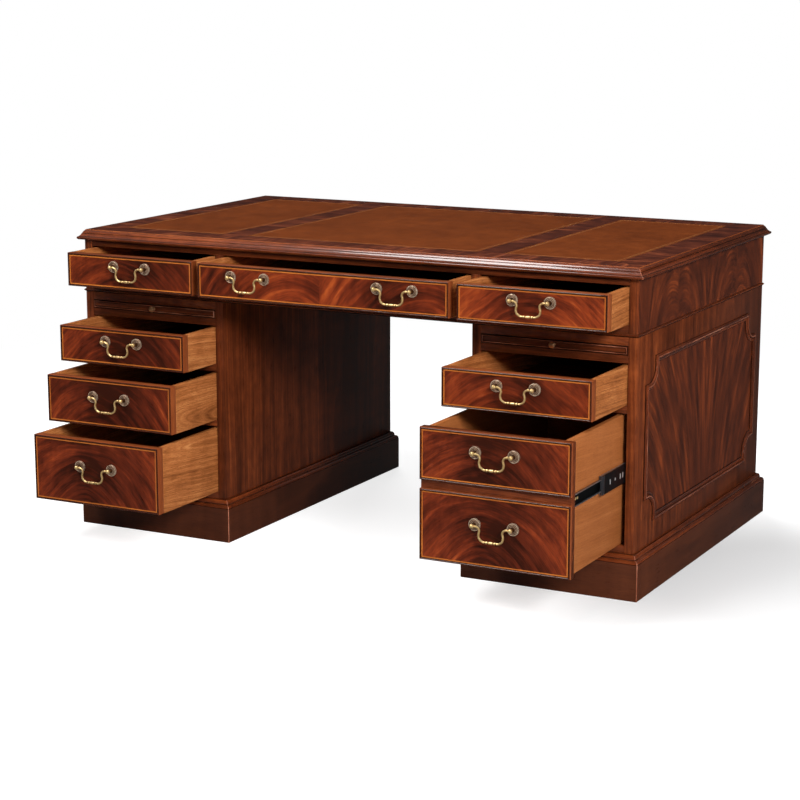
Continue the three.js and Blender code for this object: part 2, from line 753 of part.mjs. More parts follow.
const woodenDrawers = [
  { ...friezeDrawer, name: 'frieze_left_drawer', x: -friezeSideX, openBy: friezeLeftOpen },
  {
    ...friezeDrawer,
    name: 'frieze_centre_drawer',
    x: 0,
    wide: 2 * partitionX,
    openBy: friezeCentreOpen,
    pullsX: [-centreDrawerPullX, centreDrawerPullX],
  },
  { ...friezeDrawer, name: 'frieze_right_drawer', x: friezeSideX, openBy: friezeRightOpen },
  { ...pedestalDrawer, ...upperDrawer, name: 'left_upper_drawer', openBy: leftUpperOpen },
  { ...pedestalDrawer, ...middleDrawer, name: 'left_middle_drawer', openBy: leftMiddleOpen },
  { ...pedestalDrawer, ...lowerDrawer, name: 'left_lower_drawer', openBy: leftLowerOpen },
  { ...pedestalDrawer, ...upperDrawer, name: 'right_upper_drawer', x: pedestalX, openBy: rightUpperOpen },
];

const desk = new THREE.Group();
desk.add(
  topPieces(),
  friezePieces(),
  pedestal('left', -1, [upperDustBoard, lowerDustBoard]),
  pedestal('right', 1, [upperDustBoard]),
  ...woodenDrawers.map(drawer),
  fileDrawer(),
  runnerSet('cabinet', 0),
  runnerSet('middle', fileOpen / 2),
  runnerSet('drawer', fileOpen),
  writingSlide('left', -1),
  writingSlide('right', 1),
);

// The desk is moved back so that the origin lies under the middle of its depth, open drawers included
const rearReach = caseDeep / 2 + plinthProjection;
const frontReach = caseDeep / 2 + fileOpen + pivotProjection + postHeadRadius;
desk.position.y = (frontReach - rearReach) / 2;

export default desk;
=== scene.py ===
import json
import math

import bmesh
import bpy
import numpy as np
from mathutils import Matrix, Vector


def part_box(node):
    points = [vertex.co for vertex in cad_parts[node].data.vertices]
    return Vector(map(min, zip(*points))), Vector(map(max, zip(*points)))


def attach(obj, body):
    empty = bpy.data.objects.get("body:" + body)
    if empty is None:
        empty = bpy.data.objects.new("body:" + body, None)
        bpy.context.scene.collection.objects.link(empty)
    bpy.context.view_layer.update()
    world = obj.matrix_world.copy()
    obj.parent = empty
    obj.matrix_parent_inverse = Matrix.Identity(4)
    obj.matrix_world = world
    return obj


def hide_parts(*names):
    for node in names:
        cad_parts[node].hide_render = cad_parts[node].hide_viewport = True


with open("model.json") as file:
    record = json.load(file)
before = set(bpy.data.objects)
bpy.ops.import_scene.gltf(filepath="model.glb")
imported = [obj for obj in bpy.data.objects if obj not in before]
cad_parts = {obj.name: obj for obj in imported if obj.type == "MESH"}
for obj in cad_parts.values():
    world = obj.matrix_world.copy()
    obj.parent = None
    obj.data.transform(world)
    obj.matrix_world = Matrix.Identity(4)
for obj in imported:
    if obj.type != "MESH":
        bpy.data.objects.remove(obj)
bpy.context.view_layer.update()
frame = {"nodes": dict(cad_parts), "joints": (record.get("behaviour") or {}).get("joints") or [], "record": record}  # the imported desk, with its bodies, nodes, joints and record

record = frame["record"]
bodyOf = {node: body for body, nodes in record["behaviour"]["bodies"].items() for node in nodes}
pivotOf = {joint["child"]: joint["pos_m"] for joint in frame["joints"] if joint["type"] == "hinge"}


# Colours are written as they look on a screen, from 0 to 255
def paint(red, green, blue):
    share = np.array([red, green, blue]) / 255
    linear = np.where(share > 0.04045, ((share + 0.055) / 1.055) ** 2.4, share / 12.92)
    return (*linear.tolist(), 1)


class Wire:
    # One output of a shader node. Sums, products and powers of wires add Math nodes
    def __init__(self, nodes, socket):
        self.nodes, self.socket = nodes, socket

    def maths(self, operation, first, second=0):
        return self.nodes.add("Math", {"operation": operation}, {0: first, 1: second})

    def __add__(self, other):
        return self.maths("ADD", self, other)

    def __sub__(self, other):
        return self.maths("SUBTRACT", self, other)

    def __rsub__(self, other):
        return self.maths("SUBTRACT", other, self)

    def __mul__(self, other):
        return self.maths("MULTIPLY", self, other)

    def __truediv__(self, other):
        return self.maths("DIVIDE", self, other)

    def __pow__(self, other):
        return self.maths("POWER", self, other)

    __radd__, __rmul__ = __add__, __mul__


class Nodes:
    # A tree whose nodes are added through one method. Settings are set before the sockets. Between rises
    # smoothly from 0 at its low value to 1 at its high one
    def __init__(self, tree):
        self.tree = tree

    def add(self, kind, settings=None, inputs=None, out=0):
        node = self.tree.nodes.new("ShaderNode" + kind)
        for name, value in (settings or {}).items():
            if name == "stops":
                setStops(node.color_ramp, value)
            else:
                setattr(node, name, value)
        for key, value in (inputs or {}).items():
            self.plug(node.inputs[key], value)
        return Wire(self, node.outputs[out])

    def plug(self, socket, value):
        if isinstance(value, Wire):
            self.tree.links.new(value.socket, socket)
        else:
            socket.default_value = value

    def split(self, vector):
        return [self.add("SeparateXYZ", None, {0: vector}, out) for out in range(3)]

    def join(self, x, y, z):
        return self.add("CombineXYZ", None, {0: x, 1: y, 2: z})

    def noise(self, vector, scale=1, detail=2, roughness=0.5):
        return self.add("TexNoise", None, {
            "Vector": vector, "Scale": scale, "Detail": detail, "Roughness": roughness})

    def ramp(self, value, stops):
        return self.add("ValToRGB", {"stops": stops}, {0: value})

    def mix(self, share, first, second):
        # a Mix node of colours takes them in sockets 6 and 7 and gives one in output 2
        return self.add("Mix", {"data_type": "RGBA"}, {0: share, 6: first, 7: second}, 2)

    def between(self, value, low, high):
        settings = {"interpolation_type": "SMOOTHSTEP"}
        return self.add("MapRange", settings, {0: value, 1: low, 2: high})

    def bump(self, height, distance, strength):
        return self.add("Bump", None, {"Height": height, "Distance": distance, "Strength": strength})


class Finish(Nodes):
    # A material of one principled shader. Constants and inputs are named like its sockets
    def __init__(self, name, **constants):
        self.material = bpy.data.materials.new(name)
        self.material.use_nodes = True
        super().__init__(self.material.node_tree)
        self.shader = self.tree.nodes["Principled BSDF"]
        self.surface(**constants)

    def surface(self, **inputs):
        for name, value in inputs.items():
            self.plug(self.shader.inputs[name.replace("_", " ")], value)


# Gives a colour ramp its stops, each a place from 0 to 1 and a colour
def setStops(ramp, stops):
    while len(ramp.elements) < len(stops):
        ramp.elements.new(1)
    for element, (place, colour) in zip(ramp.elements, stops):
        element.position, element.color = place, colour


# Waves per metre that every wood shares, where its noises are cut, and how rough and deep its fibres are
fibreLook = {
    "bendAcross": 7, "rippleAcross": 46, "fibreAlong": 16, "fibreAcross": 560, "poreAlong": 60,
    "poreAcross": 1300, "mottleAcross": 1.6, "bandCut": 1.5, "streakCut": 7, "mottleCut": 3,
    "poreFrom": 0.6, "poreTo": 0.7, "roughFibre": 0.1, "roughMottle": 0.06, "polished": 0.08,
    "deepFibre": 0.4, "deepRipple": 0.5, "strength": 0.6,
}


# Every wooden finish reads the attribute grain: metres along the fibres, across them, and into the
# board. Growth rings are the distance from the line where the last two are both 0. A slow bend and a
# quick ripple push the rings about, and bands, streaks and fibres are drawn out along them. On a veneer
# with a heart the third number is no depth, but how far the figure's heart and the leaf's painted shade
# darken it
def woodFinish(name, look):
    finish = Finish(
        name, IOR=look["ior"], Specular_IOR_Level=look["specular"], Coat_Roughness=look["coatRoughness"],
        Coat_Weight=look["coat"])
    fine = fibreLook
    grain = finish.add("Attribute", {"attribute_name": "grain"}, None, "Vector")
    along, across, third = finish.split(grain)
    depth, heart = (0, third * look["heart"]) if look["heart"] else (third, 0)

    def stretched(alongScale, acrossScale, detail, roughness=0.5):
        place = finish.join(along * alongScale, across * acrossScale, depth * acrossScale)
        return finish.noise(place, 1, detail, roughness)

    ripple = stretched(look["rippleAlong"], fine["rippleAcross"], detail=2) - 0.5
    bend = stretched(look["bendAlong"], fine["bendAcross"], detail=2) - 0.5
    ring = (across ** 2 + depth ** 2) ** 0.5 + bend * look["bend"] + ripple * look["ripple"]

    def alongRings(alongScale, ringScale, cut, detail, roughness):
        return finish.noise(finish.join(along * alongScale, ring * ringScale, cut), 1, detail, roughness)

    bands = alongRings(look["bandAlong"], look["band"], fine["bandCut"], detail=2, roughness=0.55)
    streaks = alongRings(look["streakAlong"], look["streak"], fine["streakCut"], detail=3, roughness=0.62)
    wide = look["mottle"] * fine["mottleAcross"]
    mottle = alongRings(look["mottle"], wide, fine["mottleCut"], detail=2, roughness=0.6)
    fibres = stretched(fine["fibreAlong"], fine["fibreAcross"], detail=2, roughness=0.6)
    shares = [look[key] for key in ("bandShare", "streakShare", "fibreShare", "mottleShare")]
    tone = bands * shares[0] + streaks * shares[1] + fibres * shares[2] + mottle * shares[3]
    tone = (tone / sum(shares) - 0.5) * look["contrast"] + 0.5 - heart
    colour = finish.ramp(tone, [(stop, paint(*rgb)) for stop, rgb in look["colours"]])
    pores = stretched(fine["poreAlong"], fine["poreAcross"], detail=1)
    gaps = finish.between(pores, fine["poreFrom"], fine["poreTo"]) * look["poreShare"]
    relief = fibres * fine["deepFibre"] + ripple * fine["deepRipple"] - gaps
    rough = look["roughness"] + fibres * fine["roughFibre"] + mottle * fine["roughMottle"]
    finish.surface(
        Base_Color=finish.mix(gaps, colour, paint(*look["poreColour"])),
        Roughness=rough - fine["polished"],
        Normal=finish.bump(relief, look["relief"], fine["strength"]))
    return finish.material


# Bend and ripple are in metres. Along and across, the rest are waves per metre of grain
straightWood = {
    "ior": 1.45, "specular": 0.3, "coat": 0.14, "coatRoughness": 0.08, "roughness": 0.3, "relief": 0.00008,
    "bendAlong": 1.4, "bend": 0.03, "rippleAlong": 6, "ripple": 0.0022, "bandAlong": 0.8, "band": 30,
    "streakAlong": 2, "streak": 190, "mottle": 26,
    "bandShare": 0.4, "streakShare": 0.55, "fibreShare": 0.2, "mottleShare": 0.22, "contrast": 2.5,
    "poreShare": 0.5, "poreColour": (26, 9, 5), "heart": 0,
    "colours": [(0.1, (40, 16, 8)), (0.42, (76, 34, 16)), (0.62, (100, 46, 22)), (0.9, (142, 72, 34))],
}
figuredWood = {
    **straightWood,
    "bendAlong": 5, "bend": 0.034, "rippleAlong": 20, "ripple": 0.0026, "bandAlong": 3.4, "band": 24,
    "streakAlong": 8, "streak": 105, "mottle": 22,
    "bandShare": 0.5, "streakShare": 0.6, "fibreShare": 0.2, "mottleShare": 0.3, "contrast": 2.6,
    "heart": 0.34, "specular": 0.25, "coat": 0.1,
    "colours": [(0.08, (46, 16, 7)), (0.36, (84, 30, 13)), (0.6, (118, 46, 19)), (0.9, (160, 74, 30))],
}
sideWood = {
    **figuredWood,
    "bendAlong": 6, "bend": 0.05, "rippleAlong": 15, "ripple": 0.007, "bandAlong": 4.5, "band": 26,
    "streakAlong": 7, "streak": 170, "mottle": 17,
    "bandShare": 0.45, "mottleShare": 0.6, "contrast": 2.5, "heart": 0, "coat": 0.12,
    "colours": [(0.08, (34, 14, 8)), (0.36, (64, 28, 15)), (0.58, (92, 40, 19)), (0.86, (146, 68, 30))],
}
bandingWood = {
    **straightWood,
    "bandAlong": 7, "band": 22, "streakAlong": 7, "streak": 105, "contrast": 3.4,
    "colours": [(0.1, (42, 16, 11)), (0.42, (72, 31, 20)), (0.62, (98, 46, 28)), (0.9, (148, 78, 48))],
}
plinthWood = {
    **straightWood,
    "contrast": 1.9, "specular": 0.4,
    "colours": [(0.1, (38, 18, 10)), (0.42, (66, 32, 18)), (0.62, (83, 42, 24)), (0.9, (112, 60, 36))],
}
# Lighter mahogany on the top's arris and on the drawer fronts' edges and backs, a painted highlight
edgeHighlightWood = {
    **straightWood,
    "contrast": 2,
    "colours": [(0.1, (94, 43, 20)), (0.42, (124, 61, 29)), (0.62, (142, 74, 37)), (0.9, (170, 98, 52))],
}
# Lighter mahogany on moulding crowns, the plinth's fillet, the slide's bead and moulding corners, a painted
# highlight
paintedHighlightWood = {
    **straightWood,
    "specular": 0.5, "coat": 0.5, "roughness": 0.26, "contrast": 3.6, "streakAlong": 9, "bandAlong": 6,
    "colours": [(0.1, (78, 38, 24)), (0.42, (114, 62, 43)), (0.62, (142, 84, 62)), (0.9, (184, 124, 98))],
}
polishWood = {
    **straightWood,
    "specular": 0.5, "coat": 0.85, "coatRoughness": 0.06, "roughness": 0.24, "contrast": 2.4,
    "colours": [(0.1, (42, 16, 8)), (0.42, (80, 34, 15)), (0.62, (104, 46, 20)), (0.9, (146, 72, 32))],
}
beadWood = {
    **straightWood,
    "specular": 0.5, "coat": 0.4, "roughness": 0.24, "contrast": 1.8,
    "colours": [(0.1, (34, 13, 8)), (0.42, (56, 24, 14)), (0.62, (72, 33, 19)), (0.9, (98, 48, 27))],
}
# Near-black mahogany laid into quirks, grooves, gaps and the edges of mouldings as painted shade
paintedShadeWood = {
    **straightWood,
    "specular": 0.1, "coat": 0, "roughness": 0.6,
    "colours": [(0.1, (10, 4, 2)), (0.42, (16, 7, 4)), (0.62, (22, 9, 5)), (0.9, (32, 14, 8))],
}
stringWood = {
    **straightWood,
    "contrast": 1.8, "coat": 0.1, "poreShare": 0.2,
    "colours": [(0.1, (122, 62, 22)), (0.42, (162, 88, 32)), (0.62, (184, 106, 42)), (0.9, (208, 134, 60))],
}
oakWood = {
    **straightWood,
    "ior": 1.42, "specular": 0.12, "coat": 0, "roughness": 0.6, "relief": 0.00015,
    "bendAlong": 2.4, "bend": 0.02, "rippleAlong": 9, "ripple": 0.0024, "bandAlong": 1.4, "band": 190,
    "streakAlong": 7, "streak": 520, "mottle": 16,
    "bandShare": 0.6, "streakShare": 0.5, "fibreShare": 0.35, "mottleShare": 0.25, "contrast": 3,
    "poreShare": 0.75, "poreColour": (92, 50, 24),
    "colours": [(0.1, (98, 52, 24)), (0.42, (140, 82, 42)), (0.62, (158, 96, 52)), (0.9, (186, 124, 74))],
}
plainOakWood = {
    **oakWood,
    "contrast": 1.7, "poreShare": 0.4, "band": 90,
    "colours": [(0.1, (112, 60, 28)), (0.42, (138, 80, 41)), (0.62, (150, 90, 49)), (0.9, (170, 108, 64))],
}


leatherLook = {
    "ior": 1.4, "specular": 0.12, "roughness": 0.55, "relief": 0.00012, "strength": 0.5,
    "pebbles": 900, "pebbleEdge": 0.35, "fine": 2600, "patches": 7, "veins": 32,
    "patchShare": 0.32, "veinShare": 0.38, "pebbleShare": 0.15, "fineShare": 0.15,
    "roughPatch": 0.12, "smoothPebble": 0.06, "deepPebble": 0.7, "deepFine": 0.3,
    "colours": [(0.3, (78, 35, 13)), (0.5, (99, 47, 18)), (0.7, (122, 62, 27))],
}


# Leather reads object coordinates, so its pebbles keep one size on every panel
def leatherFinish(name, look):
    finish = Finish(name, IOR=look["ior"], Specular_IOR_Level=look["specular"])
    place = finish.add("TexCoord", None, None, "Object")
    sockets = {"Vector": place, "Scale": look["pebbles"]}
    cells = finish.add("TexVoronoi", {"feature": "DISTANCE_TO_EDGE"}, sockets)
    pebble = finish.between(cells, 0, look["pebbleEdge"])
    fine = finish.noise(place, look["fine"], detail=3, roughness=0.6)
    patches = finish.noise(place, look["patches"], detail=3, roughness=0.55)
    veins = finish.noise(place, look["veins"], detail=3, roughness=0.6)
    tone = patches * look["patchShare"] + veins * look["veinShare"]
    tone = tone + pebble * look["pebbleShare"] + fine * look["fineShare"]
    relief = pebble * look["deepPebble"] + fine * look["deepFine"]
    finish.surface(
        Base_Color=finish.ramp(tone, [(stop, paint(*rgb)) for stop, rgb in look["colours"]]),
        Roughness=look["roughness"] + patches * look["roughPatch"] - pebble * look["smoothPebble"],
        Normal=finish.bump(relief, look["relief"], look["strength"]))
    return finish.material


goldLook = {
    "colour": (158, 104, 56), "wear": (122, 66, 32), "metallic": 0.3, "roughness": 0.5, "roughWear": 0.2,
    "patches": 90, "wornFrom": 0.42, "wornTo": 0.62,
}


# A tooled line whose metal is rubbed away in patches
def goldLineFinish(name, look):
    finish = Finish(name, Metallic=look["metallic"])
    place = finish.add("TexCoord", None, None, "Object")
    patches = finish.noise(place, look["patches"], detail=3, roughness=0.6)
    worn = finish.between(patches, look["wornFrom"], look["wornTo"])
    finish.surface(
        Base_Color=finish.mix(worn, paint(*look["colour"]), paint(*look["wear"])),
        Roughness=look["roughness"] + worn * look["roughWear"])
    return finish.material


# Metals read object coordinates for their tarnish, and the first number of the attribute grain for how
# far the surface stands proud, from 0 in a groove to 1 on a rubbed crest. On the bails and the runners'
# lips that number also carries a painted highlight
def metalFinish(name, look):
    finish = Finish(name, Metallic=look["metallic"])
    place = finish.add("TexCoord", None, None, "Object")
    tarnish = finish.noise(place, look["patches"], detail=3, roughness=0.6)
    scuffs = finish.noise(place, look["scuffs"], detail=2, roughness=0.6)
    grain = finish.add("Attribute", {"attribute_name": "grain"}, None, "Vector")
    proud = finish.between(finish.split(grain)[0], 0, 1)
    age = tarnish * look["tarnish"] + (1 - proud) - look["cleaned"]
    stops = [(stop, paint(*look[key])) for stop, key in zip(look["stops"], ("bright", "dull", "deep"))]
    finish.surface(
        Base_Color=finish.ramp(age, stops),
        Roughness=look["roughness"] + age * look["roughAge"] + scuffs * look["roughScuff"],
        Normal=finish.bump(scuffs, look["relief"], look["strength"]))
    return finish.material


brassLook = {
    "bright": (252, 218, 152), "dull": (200, 152, 94), "deep": (86, 54, 32), "stops": (0.08, 0.42, 0.9),
    "patches": 160, "scuffs": 1400, "tarnish": 0.5, "cleaned": 0.2, "metallic": 0.78,
    "roughness": 0.27, "roughAge": 0.14, "roughScuff": 0.06, "relief": 0.00003, "strength": 0.4,
}
rosetteLook = {
    **brassLook,
    "bright": (255, 236, 208), "dull": (164, 126, 98), "deep": (54, 37, 28), "metallic": 0.55,
}
bronzeLook = {**brassLook, "bright": (204, 160, 118), "dull": (136, 96, 68), "deep": (54, 34, 22)}
steelLook = {
    **brassLook,
    "bright": (150, 150, 156), "dull": (44, 44, 48), "deep": (20, 20, 22), "patches": 60,
}
cageLook = {**steelLook, "bright": (82, 82, 88)}
zincLook = {
    **brassLook,
    "bright": (246, 246, 246), "dull": (216, 216, 218), "deep": (130, 130, 134), "patches": 220,
}

print("finishes")
finishes = {
    "straight": woodFinish("straight mahogany", straightWood),
    "figured": woodFinish("figured mahogany veneer", figuredWood),
    "banding": woodFinish("cross-banded mahogany", bandingWood),
    # painted highlight on arrises and the fronts' edges
    "edge": woodFinish("lipping mahogany", edgeHighlightWood),
    "plinth": woodFinish("plinth mahogany", plinthWood),
    "side": woodFinish("feathered mahogany veneer", sideWood),
    "polish": woodFinish("polished moulding mahogany", polishWood),
    "bead": woodFinish("cock bead mahogany", beadWood),
    # painted highlight on crowns, fillets, beads and corners
    "rubbed": woodFinish("rubbed mahogany", paintedHighlightWood),
    # painted shade for quirks, grooves, gaps and moulding edges
    "shade": woodFinish("dark quirk", paintedShadeWood),
    "string": woodFinish("satinwood string", stringWood),
    "oak": woodFinish("oak", oakWood),
    "plainOak": woodFinish("plain oak", plainOakWood),
    "leather": leatherFinish("tan hide", leatherLook),
    "gold": goldLineFinish("tooled gold line", goldLook),
    "brass": metalFinish("antique brass", brassLook),
    "rosette": metalFinish("rosette brass", rosetteLook),
    "bronze": metalFinish("dark bronze", bronzeLook),
    "steel": metalFinish("black steel", steelLook),
    "cage": metalFinish("cage steel", cageLook),
    "zinc": metalFinish("zinc plate", zincLook),
}
finishNames = list(finishes)

jointGap = 0.0003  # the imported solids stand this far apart, and pieces close it
meshLook = {"weld": 2e-6, "sliver": 1e-7, "sharpAngle": 35}


class Shell:
    # Gathers grids of points into one mesh, with the grain and the finish of each grid
    def __init__(self):
        self.points, self.quads, self.grains, self.kinds = [], [], [], []
        self.count = 0

    def grid(self, points, grain, finish, closed=False):
        # points and grain are arrays of (grids, rows, columns, 3), or of one grid without the first size
        if points.ndim == 3:
            points, grain = points[None], grain[None]
        sheets, rows, columns = points.shape[:3]
        index = np.arange(sheets * rows * columns).reshape(sheets, rows, columns)
        if closed:
            index = np.concatenate([index, index[:, :, :1]], axis=2)
        corners = [index[:, :-1, :-1], index[:, 1:, :-1], index[:, 1:, 1:], index[:, :-1, 1:]]
        quads = np.stack(corners, axis=-1).reshape(-1, 4)
        self.points.append(points.reshape(-1, 3))
        self.grains.append(grain.reshape(-1, 3)[quads].reshape(-1, 3))
        self.quads.append(quads + self.count)
        self.kinds.append(np.full(len(quads), finishNames.index(finish)))
        self.count += len(self.points[-1])

    def mesh(self, name, sharpAngle):
        # doubles merged, slivers dissolved, all faces outwards and edges sharp past the angle
        mesh = bpy.data.meshes.new(name)
        quads = np.concatenate(self.quads)
        mesh.from_pydata(np.concatenate(self.points), [], quads.tolist())
        kinds = np.concatenate(self.kinds)
        used = np.unique(kinds)
        for kind in used:
            mesh.materials.append(finishes[finishNames[kind]])
        mesh.polygons.foreach_set("material_index", np.searchsorted(used, kinds))
        attribute = mesh.attributes.new("grain", "FLOAT_VECTOR", "CORNER")
        attribute.data.foreach_set("vector", np.concatenate(self.grains).astype(np.float32).ravel())
        whole = bmesh.new()
        whole.from_mesh(mesh)
        bmesh.ops.remove_doubles(whole, verts=whole.verts, dist=meshLook["weld"])
        bmesh.ops.dissolve_degenerate(whole, edges=whole.edges, dist=meshLook["sliver"])
        bmesh.ops.recalc_face_normals(whole, faces=whole.faces)
        whole.to_mesh(mesh)
        whole.free()
        mesh.shade_smooth()
        mesh.set_sharp_from_angle(angle=math.radians(sharpAngle))
        return mesh


# A node's name as a piece's name
def camel(node):
    first, *rest = node.split("_")
    return first + "".join(word.capitalize() for word in rest)


# Makes the shell a piece that stands for a node and rides on its body
def dress(shell, node, name=None, sharpAngle=meshLook["sharpAngle"]):
    name = name or camel(node)
    piece = bpy.data.objects.new(name, shell.mesh(name, sharpAngle))
    bpy.context.scene.collection.objects.link(piece)
    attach(piece, bodyOf[node])
    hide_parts(node)


# A plane is an origin and three directions: across it, up it and out of it
def plane(across, up, out, origin=(0, 0, 0)):
    return np.array(origin, float), np.array([across, up, out], float)


# Points of a plane's own coordinates, put into the desk's
def placed(where, local):
    origin, directions = where
    return origin + local @ directions


# The plane that looks out of one side of the desk
def facing(side, origin=(0, 0, 0)):
    directions = {
        "front": ((1, 0, 0), (0, 0, 1), (0, -1, 0)),
        "back": ((-1, 0, 0), (0, 0, 1), (0, 1, 0)),
        "right": ((0, 1, 0), (0, 0, 1), (1, 0, 0)),
        "left": ((0, -1, 0), (0, 0, 1), (-1, 0, 0)),
        "top": ((1, 0, 0), (0, 1, 0), (0, 0, 1)),
    }
    return plane(*directions[side], origin)


# Where the log's pith lies beside a board and how far it leans, both drawn within a spread of themselves
quarterSawn = {"pith": (0.28, 0.16), "tilt": (0.0, 0.02), "spread": (0.7, 1.3), "log": 40}
flatSawn = {**quarterSawn, "pith": (0.012, 0.06), "tilt": (0.03, 0.09)}


# Grain of solid wood: object coordinates with the fibre direction first, measured from a pith line that
# lies off the board, and tilted to it so that the rings run out as arches
def solidGrain(points, fibre, look, seed):
    order = {"x": (0, 1, 2), "y": (1, 0, 2), "z": (2, 0, 1)}[fibre]
    turned = points[..., order]
    middle = (turned.reshape(-1, 3).max(0) + turned.reshape(-1, 3).min(0)) / 2
    draw = np.random.default_rng(seed)
    local = turned - middle
    pith = np.array(look["pith"]) * draw.uniform(*look["spread"], 2) * draw.choice([-1, 1], 2)
    tilt = draw.uniform(*look["tilt"], 2) * draw.choice([-1, 1], 2)
    along = local[..., 0] + draw.uniform(0, look["log"])
    return np.stack([along, local[..., 1] + pith[0] + local[..., 0] * tilt[0],
                     local[..., 2] + pith[1] + local[..., 0] * tilt[1]], axis=-1)


boardLook = {"arris": 0.0008, "arrisShare": 1 / 2.2, "steps": 2}


# A board with rounded arrises. Each point is the inner box's corner plus the radius times a direction,
# and the directions run over a ball whose equator and four meridians are doubled
def board(shell, low, high, fibre, finish, seed, look=quarterSawn, radius=boardLook["arris"]):
    low, high = np.array(low, float), np.array(high, float)
    steps = boardLook["steps"]
    radius = min(radius, (high - low).min() * boardLook["arrisShare"])
    quarter = np.linspace(0, math.pi / 2, steps + 1)
    tilt = np.concatenate([quarter - math.pi / 2, quarter])[:, None]
    rise = np.repeat([-1, 1], steps + 1)[:, None] + tilt * 0
    turn = (quarter + np.arange(4)[:, None] * math.pi / 2).reshape(1, -1)
    corner = (np.arange(4)[:, None] + 0.5 + quarter * 0).reshape(1, -1) * math.pi / 2
    signs = np.stack(np.broadcast_arrays(np.sign(np.cos(corner)), np.sign(np.sin(corner)), rise), -1)
    ways = np.stack(np.broadcast_arrays(
        np.cos(tilt) * np.cos(turn), np.cos(tilt) * np.sin(turn), np.sin(tilt)), -1)
    points = (low + high) / 2 + signs * ((high - low) / 2 - radius) + ways * radius
    grain = solidGrain(points, fibre, look, seed)
    shell.grid(points, grain, finish, closed=True)
    lids = np.arange(4) * (steps + 1)
    for row in (0, -1):
        order = lids[[0, 1, 3, 2]]
        shell.grid(points[row, order].reshape(2, 2, 3), grain[row, order].reshape(2, 2, 3), finish)


inwards = np.array([1, -1])  # the way in from the two ends of a pair of places


# Stations along a rectangle's two sides, and the closed path round it, anticlockwise
def perimeter(xs, ys):
    return np.concatenate([
        np.stack([xs[:-1], np.full(len(xs) - 1, ys[0])], -1),
        np.stack([np.full(len(ys) - 1, xs[-1]), ys[:-1]], -1),
        np.stack([xs[:0:-1], np.full(len(xs) - 1, ys[-1])], -1),
        np.stack([np.full(len(ys) - 1, xs[0]), ys[:0:-1]], -1),
    ])


# Offset of each corner of a path when its sides move out by 1: the sum of the two side normals over
# one plus their dot product
def mitres(path):
    ahead = np.roll(path, -1, axis=0) - path
    ahead /= np.linalg.norm(ahead, axis=1)[:, None]
    after = np.stack([ahead[:, 1], -ahead[:, 0]], -1)
    before = np.roll(after, 1, axis=0)
    return (before + after) / (1 + (before * after).sum(1))[:, None], ahead


# A seed moves a piece's grain on by these steps, in metres, so that no two pieces show the same wood. The
# first numbers keep it away from the pith
grainStep = {"along": 3.7, "boardFrom": 0.43, "board": 0.11, "mouldFrom": 0.31, "mould": 0.017,
             "veneerAlong": 2.3, "veneerFrom": 0.9, "veneer": 0.13, "leafAlong": 3.1}
# Two sides of a path make a corner where the cosine between them is under this
cornerLook = {"cosine": 0.5, "steps": 3}


# An outline of (out, up) carried round a closed path and mitred at its corners. The grain runs along
# the path, or across it on cross-banding. Soft is the radius of the corners, which grows from nothing on
# the path itself to the whole radius at twice that distance outside it. The corner arcs of plinth and
# polished mouldings take a lighter mahogany as a painted highlight
def sweep(shell, where, path, outline, finish, seed=0, across=False, closed=False, soft=0):
    outline = np.array(outline, float)
    offsets, ahead = mitres(path)
    flat = path[:, None] + offsets[:, None] * outline[None, :, :1]
    up = np.broadcast_to(outline[None, :, 1:], (len(path), len(outline), 1))
    ring = np.concatenate([flat, up], -1)
    after = np.roll(ring, -1, axis=0)
    radius = soft * np.clip(outline[:, :1] / soft - 1, 0, 1) if soft else 0 * outline[:, :1]
    step = np.append(ahead, np.zeros((len(path), 1)), axis=1)[:, None] * radius
    bent = (ahead * np.roll(ahead, 1, axis=0)).sum(1) < cornerLook["cosine"]
    bentNext = np.roll(bent, -1)
    sides = np.stack([ring + step * bent[:, None, None], after - step * bentNext[:, None, None]], axis=1)
    lengths = np.linalg.norm(np.roll(path, -1, axis=0) - path, axis=1)
    start = np.concatenate([[0], np.cumsum(lengths)[:-1]])
    run = ((sides[..., :2] - path[:, None, None]) * ahead[:, None, None]).sum(-1) + start[:, None, None]
    out = np.broadcast_to(outline[:, 0], run.shape) + grainStep["mouldFrom"] + seed * grainStep["mould"]
    rise = np.broadcast_to(outline[:, 1], run.shape)
    parts = (out, run, rise) if across else (run + seed * grainStep["along"], out, rise)
    grain = np.stack(parts, -1)
    shell.grid(placed(where, sides), grain, finish, closed)
    if soft:
        turn = np.linspace(0, math.pi / 2, cornerLook["steps"] + 1)[None, :, None, None]
        onward, before = np.roll(step, -1, axis=0)[:, None], step[:, None]
        arcs = after[:, None] - before + onward - onward * np.cos(turn) + before * np.sin(turn)
        # the corner arcs take the lighter mahogany as a painted highlight
        worn = "rubbed" if finish in ("plinth", "polish") else finish
        arcGrain = np.broadcast_to(grain[:, 1:], arcs.shape)
        shell.grid(placed(where, arcs[bentNext]), arcGrain[bentNext], worn, closed)


# A flat panel over stations xs and ys, at a height, with grain from a function of its two coordinates
def panel(shell, where, xs, ys, height, grain, finish):
    x, y = np.meshgrid(xs, ys, indexing="ij")
    shell.grid(placed(where, np.stack([x, y, np.full_like(x, height)], -1)), grain(x, y), finish)


# Straight grain along the panel: the first number grows with x and the second with y
def straightAcross(seed):
    along, across = seed * grainStep["along"], grainStep["boardFrom"] + seed * grainStep["board"]
    return lambda x, y: np.stack([x + along, y + across, y * 0], -1)


# Straight grain up the panel, with x and y the other way about
def straightUp(seed):
    level = straightAcross(seed)
    return lambda x, y: level(y, x)


heartWide = 0.09  # how far the darkness of a flame figure's heart spreads


